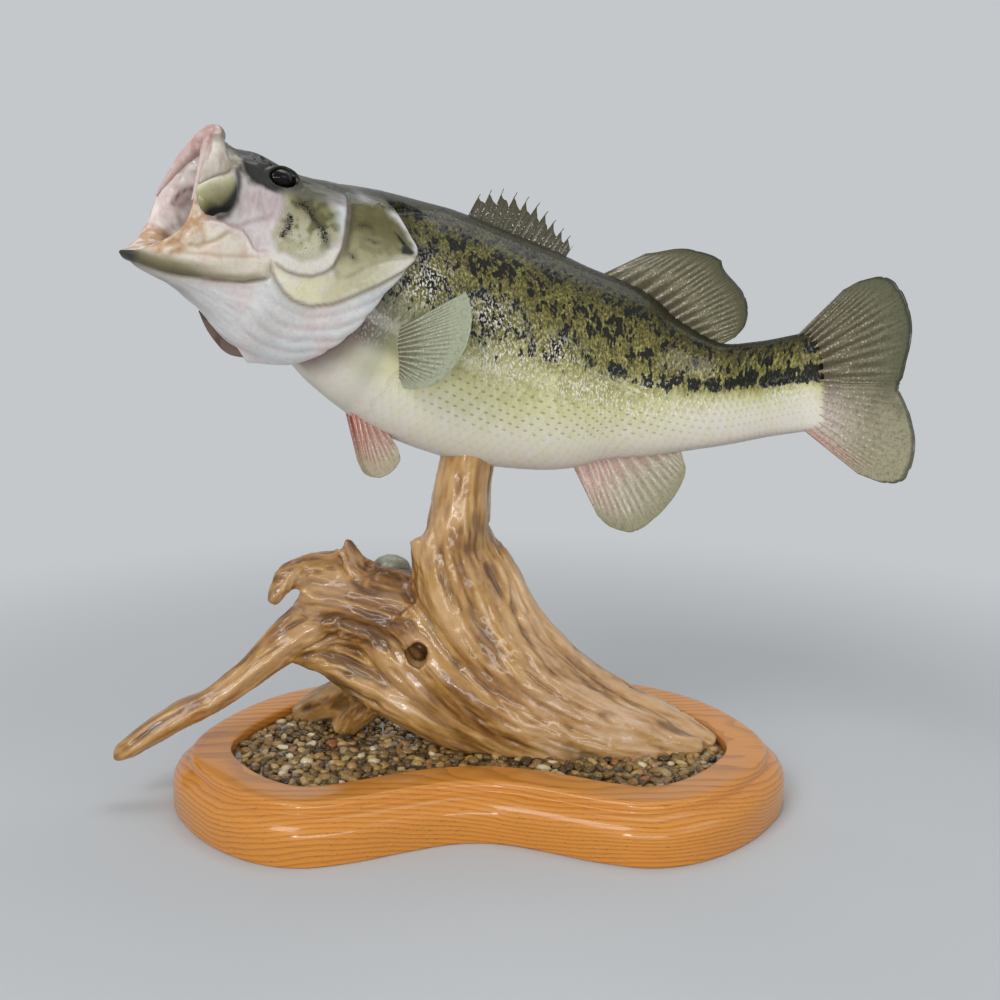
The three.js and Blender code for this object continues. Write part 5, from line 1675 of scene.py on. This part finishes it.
def skin_material(gloss):
    shade = Shade("bass_skin_wet")
    fine, broad = shade.noise(0.55, 3.0), shade.noise(0.16, 2.0)
    colour = shade.mix((broad - 0.45) * 0.4, skin_colour(shade), "c7adaa", "MULTIPLY")
    worn = (shade.noise(0.42, 4.0) - 0.5).between(0.0, 0.12) * shade.mark("face")
    colour = shade.mix(worn * 0.1, colour, "a39a82", "MULTIPLY")
    colour = shade.mix((fine - 0.56).between(0.0, 0.12) * 0.06, colour, "6b6250")
    normal = shade.bump(fine * 0.6 + shade.noise(1.6, 2.0) * 0.4, 0.35, 0.0005)
    return varnished(shade, colour, 0.34 + fine * 0.12, normal, gloss, 0.08)


def scale_material(gloss):
    shade = Shade("bass_scales")
    luck, dots, reach, across = (shade.mark(name) for name in ("luck", "dots", "reach", "across"))
    # painted shade on the covered front of each scale, under the edge of the one before it
    root = reach.between(0.78, 0.45) * shade.mark("crisp")
    colour = shade.mix(root * 0.35, skin_colour(shade, luck), "6a644a", "MULTIPLY")
    spot = ((reach - 0.62) / 0.13) ** 2 + (across / 0.13) ** 2
    colour = shade.mix(spot.between(1.3, 0.4) * dots * 0.5, colour, "6a6541")
    grain = shade.noise(0.9, 3.0, (1.5, 1.5, 0.7))
    return varnished(shade, colour, 0.24 + grain * 0.14, shade.bump(grain, 0.7, 0.0009), gloss, 0.06)


def eye_material():
    shade = Shade("eye_glass")
    polar, turn = shade.mark("polar"), shade.mark("turn")
    iris = shade.mix(shade.noise(1.2, 2.0), "0d0906", "1e140b")
    ring = (1 - ((polar - 37) / 1.2) ** 2).clamped()
    colour = shade.layers("010101", (polar.between(35.0, 38.0), iris), (ring * 0.3, "54401f"),
                          ((polar + turn).between(52.0, 62.0), "060605"))
    return shade.surface(Base_Color=colour, Roughness=0.1, Coat_Weight=1.0, Coat_Roughness=0.01,
                         Coat_IOR=1.25, Specular_IOR_Level=0.1)


def fin_material(name, root, middle, tip, ray, dark_edge=0.0, blotches=0.0, lead=None, trail=None):
    """Membrane from root to tip with paler rays and painted glints along them; lead and trail tint the two
    sides of the fin.
    """
    shade = Shade(name)
    reach, ridge, share = (shade.mark(name) for name in ("reach", "ray", "share"))
    cloud, fine = shade.noise(0.12, 2.0), shade.noise(0.8, 3.0)
    layers = []
    if lead:
        layers.append((share.between(0.5, 0.0) * reach.between(1.0, 0.35) * 0.75, lead))
    if trail:
        layers += [((share + cloud * 0.3).between(0.58, 0.9) * 0.8, trail),
                   (share.between(0.4, 0.75) * reach.between(0.65, 0.2) * 0.75, "dccbc2"),
                   (share.between(0.8, 1.0) * reach.between(0.9, 0.3) * 0.8, "c98f88")]
    layers += [(shade.noise(1.0, 4.0, (0.5, 0.5, 0.5)).between(0.45, 0.7) * 0.3, "2c281c"),
               (ridge * reach.between(1.1, 0.7) * 0.6, ray)]
    if blotches:
        layers.append((fine.between(0.5, 0.66) * (1 - ridge) * blotches, "2c281c"))
    # painted glints of light along the rays, fading towards the edge
    ray_glints = shade.noise(0.9, 2.0).between(0.58, 0.63) * ridge * reach.between(0.95, 0.6)
    layers.append((ray_glints * 0.75, "f0ecdf"))
    if dark_edge:
        layers.append((reach.between(0.955, 0.985) * dark_edge, "22221a"))
    base = shade.ramp(reach + (cloud - 0.5) * 0.25, (0.04, root), (0.45, middle), (0.9, tip))
    return shade.surface(Base_Color=shade.layers(base, *layers), Roughness=0.34 + fine * 0.1,
                         Normal=shade.bump(fine * 0.25 + ridge * 0.7, 0.3, 0.0005), Coat_Weight=0.5,
                         Coat_Roughness=0.1, Coat_IOR=1.4, Specular_IOR_Level=0.2)


def wood_material(light, dark):
    shade = Shade("driftwood_lacquered")
    broad, middle, fine, high, stain = (shade.mark(name) for name in WOOD_MARKS)
    cloud, speck = shade.noise(0.018, 2.0), shade.noise(0.9, 3.0)
    drawn = shade.node("ShaderNodeCombineXYZ", {}, {"X": broad * 7, "Y": middle * 9, "Z": fine * 7})
    lines = shade.noise(1.0, 2.0, where=drawn)
    tone = 0.5 + (lines - 0.5) * 0.25 + middle * 0.2 + fine * 0.55 + (cloud - 0.5) * 0.8 - stain
    base = shade.ramp(tone, (0.08, "5e3c17"), (0.3, dark), (0.52, "b48748"), (0.72, light),
                      (0.95, "e2cba6"))
    # painted shade: the deep grooves of the relief are darkened
    colour = shade.layers(
        base, ((cloud + broad * 0.3).between(0.5, 0.62) * 0.28, "dbb58c"),
        (stain.between(0.0, -0.12) * fine.between(-0.3, 0.3) * 0.6, "cbaa8c"),
        (high.between(-0.6, -2.4) * 0.7, "4f3112"), (speck.between(0.62, 0.75) * 0.12, "4a2c12"))
    return shade.surface(Base_Color=colour, Roughness=0.4 - middle * 0.2, Coat_Weight=0.7,
                         Normal=shade.bump(lines * 0.5 + fine * 1.6 + speck * 0.3, 0.6, 0.0007),
                         Coat_Roughness=0.13, Specular_IOR_Level=0.3)


def oak_material(colour_light, colour_dark):
    shade = Shade("oak_varnished")
    x, y, z = (shade.node("ShaderNodeSeparateXYZ", {}, {"Vector": shade.place()}, axis) for axis in "XYZ")
    wander = shade.noise(1.0, 2.0, (0.012, 0.03, 0.03))
    slow = shade.noise(1.0, 1.0, (0.004, 0.008, 0.008))
    depth = z * 0.9 + y * 0.16 + (slow - 0.5) * 40 + (wander - 0.5) * 7 + x * 0.012
    rings = shade.node("ShaderNodeMath", {"operation": "FRACT"}, {0: depth / 2.6})
    late = rings.between(0.35, 0.95) * rings.between(1.0, 0.96)
    pores = shade.noise(1.0, 2.0, (0.05, 1.3, 1.3))
    fibre = shade.noise(1.0, 3.0, (0.03, 0.6, 0.6))
    colour = shade.mix(late * 0.6 + (fibre - 0.5) * 0.5, colour_light, colour_dark)
    open_pores = pores.between(0.6, 0.7) * (0.35 + late * 0.65)
    return shade.surface(Base_Color=shade.mix(open_pores * 0.62, colour, "6e3f16"), Roughness=0.36,
                         Normal=shade.bump(pores * -1.0, 0.12, 0.0004), Coat_Weight=0.55,
                         Coat_Roughness=0.09, Specular_IOR_Level=0.25)


def resin_material():
    shade = Shade("gravel_resin_wet")
    grit = shade.node("ShaderNodeTexVoronoi", {}, {"Vector": shade.place(), "Scale": 0.42}, "Color")
    grey = shade.node("ShaderNodeSeparateColor", {}, {"Color": grit})
    colour = shade.ramp(grey * 0.75 + shade.noise(0.2, 3.0) * 0.25, (0.1, "241a10"), (0.4, "4c3920"),
                        (0.7, "75603b"), (0.95, "a68f66"))
    return shade.surface(Base_Color=colour, Roughness=0.2, Normal=shade.bump(grey, 0.5, 0.0008),
                         Coat_Weight=1.0, Coat_Roughness=0.04)


def pebble_material():
    shade = Shade("gravel_pebbles_wet")
    veins = shade.noise(0.7, 3.0)
    colour = shade.ramp(shade.mark("luck"), (0.0, "2e2113"), (0.14, "654c24"), (0.3, "96723a"),
                        (0.44, "6a5736"), (0.58, "b8924f"), (0.7, "4a3620"), (0.8, "c9ab70"),
                        (0.9, "96582a"), (0.97, "e2d2ac"))
    return shade.surface(Base_Color=shade.mix((veins - 0.4) * 0.7, colour, "3a2e1e"),
                         Roughness=0.25 + veins * 0.1, Coat_Weight=0.7, Coat_Roughness=0.05,
                         Specular_IOR_Level=0.15)


def stone_material():
    shade = Shade("river_stone_smooth")
    cloud, grit = shade.noise(0.08, 2.0), shade.noise(0.9, 3.0)
    colour = shade.ramp(cloud * 0.7 + grit * 0.3, (0.3, "6e6f5a"), (0.5, "8f907a"), (0.7, "b3b39c"))
    return shade.surface(Base_Color=colour, Roughness=0.4, Normal=shade.bump(grit, 0.3, 0.0004),
                         Coat_Weight=0.4, Coat_Roughness=0.15)


def backed(nodes, share, kind, inputs, backdrop):
    """A shader that gives way to the backdrop's even grey by a share."""
    return nodes.node("ShaderNodeMixShader", {}, {
        0: share, 1: nodes.node(kind, {}, inputs),
        2: nodes.node(backdrop, {}, {"Color": BACKDROP, "Strength": 1.0})})


def floor_material(code):
    """Pale floor that keeps the shadow near the object and is the backdrop's grey far off."""
    shade = Shade("stage_floor_pale")
    far = shade.node("ShaderNodeVectorMath", {"operation": "LENGTH"}, {0: shade.place((1, 1, 0))}, 1)
    return shade.finished(backed(shade, far.between(330.0, 900.0) * shade.seen(), "ShaderNodeBsdfDiffuse",
                                 {"Color": code}, "ShaderNodeEmission"))


# ---- add-on --------------------------------------------------------------------------------
GROUND = {}  # holds the skin grid, made once for the skin and the scales


def surface_of_fish():
    if "surface" not in GROUND:
        GROUND["surface"] = build_surface()
    return GROUND["surface"]


def finish_piece(piece, material, nodes=()):
    """Gives a piece its material, hangs it on the root body and hides the solids it stands in for."""
    if material is not None and not piece.data.materials:
        piece.data.materials.append(material)
    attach(piece, "root")
    if nodes:
        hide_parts(*nodes)
    return piece


def colour_property(name, description, code):
    return bpy.props.FloatVectorProperty(name=name, description=description, default=rgba(code),
                                         subtype="COLOR", size=4, min=0.0, max=1.0)


def length_property(name, description, default, low, high):
    return bpy.props.FloatProperty(name=name, description=description, default=default, min=low, max=high,
                                   unit="LENGTH")


class BassSizes(bpy.types.PropertyGroup):
    """Sizes and finish of the fish."""

    gloss: bpy.props.FloatProperty(
        name="Gloss", description="Strength of the clear coat on skin and scales", default=0.55,
        min=0.0, max=1.0, subtype="FACTOR")
    scales: bpy.props.BoolProperty(
        name="Scales", description="Lay separate scales over the skin", default=True)


class MountSizes(bpy.types.PropertyGroup):
    """Sizes and colours of the driftwood, the base and the gravel."""

    wood_voxel: length_property("Wood detail", "Smallest feature of the driftwood", 0.0013, 0.001, 0.01)
    wood_light: colour_property("Light wood", "Colour of the light grain", "c99e62")
    wood_dark: colour_property("Dark wood", "Colour of the dark grain", "8c5f2e")
    oak_light: colour_property("Light oak", "Colour of the early wood", "d98f38")
    oak_dark: colour_property("Dark oak", "Colour of the late wood", "ab6722")
    pebble_spacing: length_property("Pebble spacing", "Least distance between pebbles", 0.0049, 0.002, 0.02)
    pebble_size: length_property("Pebble size", "Half length of an ordinary pebble", 0.0046, 0.001, 0.01)


class BASS_OT_skin(bpy.types.Operator):
    """Build the skin of the fish with its mouth, jaws and gill covers"""

    bl_idname = "bass.skin"
    bl_label = "Skin"

    def execute(self, context):
        skin = build_skin(surface_of_fish())
        finish_piece(skin, skin_material(context.scene.bass_sizes.gloss),
                     ("head", "lower_jaw", "gill_cover_left", "gill_cover_right", "upper_jaw",
                      "maxilla_left", "maxilla_right", "tongue", "trunk", "tail"))
        return {"FINISHED"}


class BASS_OT_scales(bpy.types.Operator):
    """Lay the scales over the skin"""

    bl_idname = "bass.scales"
    bl_label = "Scales"

    def execute(self, context):
        if not context.scene.bass_sizes.scales:
            return {"FINISHED"}
        material = scale_material(context.scene.bass_sizes.gloss)
        for side in (1, -1):
            finish_piece(build_scales(surface_of_fish(), side), material)
        finish_piece(build_head_scales(surface_of_fish()), material)
        return {"FINISHED"}


class BASS_OT_eyes(bpy.types.Operator):
    """Set the glass eyes"""

    bl_idname = "bass.eyes"
    bl_label = "Eyes"

    def execute(self, context):
        material = eye_material()
        for side, name in ((1, "left"), (-1, "right")):
            finish_piece(build_eye("glass_eye_" + name, side), material, ("eye_" + name,))
        return {"FINISHED"}


class BASS_OT_fins(bpy.types.Operator):
    """Build the eight fins"""

    bl_idname = "bass.fins"
    bl_label = "Fins"

    def execute(self, context):
        materials = {
            "dorsal": fin_material("fin_dorsal", "4a3d2a", "605c42", "4a4a30", "b3a888", 0.85, 0.4),
            "spiny": fin_material("fin_spiny", "4c4735", "5d5944", "544f3a", "2a251a", 0.6, 0.4),
            "caudal": fin_material("fin_caudal", "54483a", "57513a", "5e6048", "a89d80", 0.7, 0.4, None,
                                   "b0a98c"),
            "anal": fin_material("fin_anal", "c39a8f", "a39c86", "939073", "dccfb6", 0.0, 0.0, "c4958c"),
            "pectoral": fin_material("fin_pectoral", "6a604c", "7c8068", "a0a68b", "cbcab0", 0.0, 0.15),
            "pelvic": fin_material("fin_pelvic", "b47a6c", "a3776a", "a79c82", "d2b9a2", 0.0, 0.0,
                                   "b9685a")}
        for name, node, root, tip, line, finish, sizes in FINS:
            side = -1 if name.endswith("right") else 1
            roots, tips = line(root, side), line(tip, side)
            points, faces, marks = build_fin(roots, tips, **sizes)
            if finish == "spiny":
                points, faces, marks = add_spines(points, faces, marks, roots, tips, 10, 1.0, 0.99)
            fin = mesh_object("bass_" + name, points, faces)
            add_marks(fin.data, marks)
            finish_piece(fin, materials[finish], (node,))
        return {"FINISHED"}


class BASS_OT_driftwood(bpy.types.Operator):
    """Build the driftwood root"""

    bl_idname = "bass.driftwood"
    bl_label = "Driftwood"

    def execute(self, context):
        sizes = context.scene.mount_sizes
        material = wood_material(tuple(sizes.wood_light), tuple(sizes.wood_dark))
        finish_piece(build_driftwood(sizes.wood_voxel), material, ("driftwood",))
        finish_piece(build_stone(), stone_material(), ("river_stone",))
        return {"FINISHED"}


class BASS_OT_base(bpy.types.Operator):
    """Build the oak base with its bed of gravel"""

    bl_idname = "bass.base"
    bl_label = "Base and gravel"

    def execute(self, context):
        sizes = context.scene.mount_sizes
        oak = oak_material(tuple(sizes.oak_light), tuple(sizes.oak_dark))
        finish_piece(build_oak_base(), oak, ("oak_base",))
        finish_piece(build_resin(), resin_material(), ("gravel_bed",))
        pebbles = build_pebbles(pebble_material(), sizes.pebble_spacing, sizes.pebble_size)
        finish_piece(pebbles, None)
        return {"FINISHED"}


class BASS_OT_stage(bpy.types.Operator):
    """Set the camera, the floor and the studio lights"""

    bl_idname = "bass.stage"
    bl_label = "Stage"

    def execute(self, context):
        build_stage(context.scene)
        return {"FINISHED"}


class BASS_PT_panel(bpy.types.Panel):
    bl_label = "Mounted Bass"
    bl_idname = "BASS_PT_panel"
    bl_space_type = "VIEW_3D"
    bl_region_type = "UI"
    bl_category = "Mounted Bass"

    def draw(self, context):
        layout = self.layout
        for group in (context.scene.bass_sizes, context.scene.mount_sizes):
            for name in group.__annotations__:
                layout.prop(group, name)
        for step in STEPS:
            layout.operator(step.bl_idname)


STEPS = (BASS_OT_skin, BASS_OT_scales, BASS_OT_eyes, BASS_OT_fins, BASS_OT_driftwood, BASS_OT_base,
         BASS_OT_stage)
CLASSES = (BassSizes, MountSizes) + STEPS + (BASS_PT_panel,)


CAMERA_PLACE = (0.0139, -0.7727, 0.3315)
CAMERA_TILT = 80  # degrees up from looking straight down
LENS, SENSOR = 43.2, 36
FLOOR_HALF = 6.0
# Name, place, what it points at, width and height, power.
LAMPS = [("key", (-0.9, -1.3, 1.5), (0, 0, 0.2), (0.9, 0.9), 14),
         ("fill", (1.5, -0.9, 0.9), (0, 0, 0.2), (1.2, 0.8), 4),
         ("top", (0.2, 0.5, 1.9), (0, 0, 0.2), (1.4, 1.0), 9),
         ("glint", (0.1, -1.6, 0.34), (0.02, 0, 0.3), (1.4, 0.2), 6),
         ("spark", (-0.4, -1.35, 0.36), (-0.1, 0, 0.35), (0.12, 0.2), 1.2)]


def add_lamp(name, place, target, size, power):
    lamp = bpy.data.lights.new(name, "AREA")
    lamp.shape, lamp.energy = "RECTANGLE", power
    lamp.size, lamp.size_y = size
    made = bpy.data.objects.new(name, lamp)
    made.location = place
    made.rotation_euler = (Vector(target) - Vector(place)).to_track_quat("-Z", "Y").to_euler()
    bpy.context.scene.collection.objects.link(made)


def build_stage(scene):
    camera = bpy.data.cameras.new("camera")
    camera.lens, camera.sensor_width = LENS, SENSOR
    view = bpy.data.objects.new("camera", camera)
    view.location = CAMERA_PLACE
    view.rotation_euler = (math.radians(CAMERA_TILT), 0, 0)
    scene.collection.objects.link(view)
    scene.camera = view
    scene.view_settings.view_transform = "Standard"
    corners = [(x * FLOOR_HALF, y * FLOOR_HALF, 0) for x, y in ((-1, -1), (1, -1), (1, 1), (-1, 1))]
    floor = mesh_object("stage_floor", corners, np.array([[0, 1, 2, 3]]), 1.0, False)
    floor.data.materials.append(floor_material("c9ccce"))
    for lamp in LAMPS:
        add_lamp(*lamp)
    world = bpy.data.worlds.new("studio")
    scene.world = world
    world.use_nodes = True
    sky = Nodes(world.node_tree)
    shader = backed(sky, sky.seen(), "ShaderNodeBackground", {"Color": "dfe3e8", "Strength": 0.45},
                    "ShaderNodeBackground")
    sky.node("ShaderNodeOutputWorld", {}, {"Surface": shader})


def register():
    for one in CLASSES:
        bpy.utils.register_class(one)
    bpy.types.Scene.bass_sizes = bpy.props.PointerProperty(type=BassSizes)
    bpy.types.Scene.mount_sizes = bpy.props.PointerProperty(type=MountSizes)


def unregister():
    del bpy.types.Scene.mount_sizes
    del bpy.types.Scene.bass_sizes
    for one in reversed(CLASSES):
        bpy.utils.unregister_class(one)


def main():
    register()
    for step in STEPS:
        group, name = step.bl_idname.split(".")
        getattr(getattr(bpy.ops, group), name)()


if __name__ == "__main__":
    main()
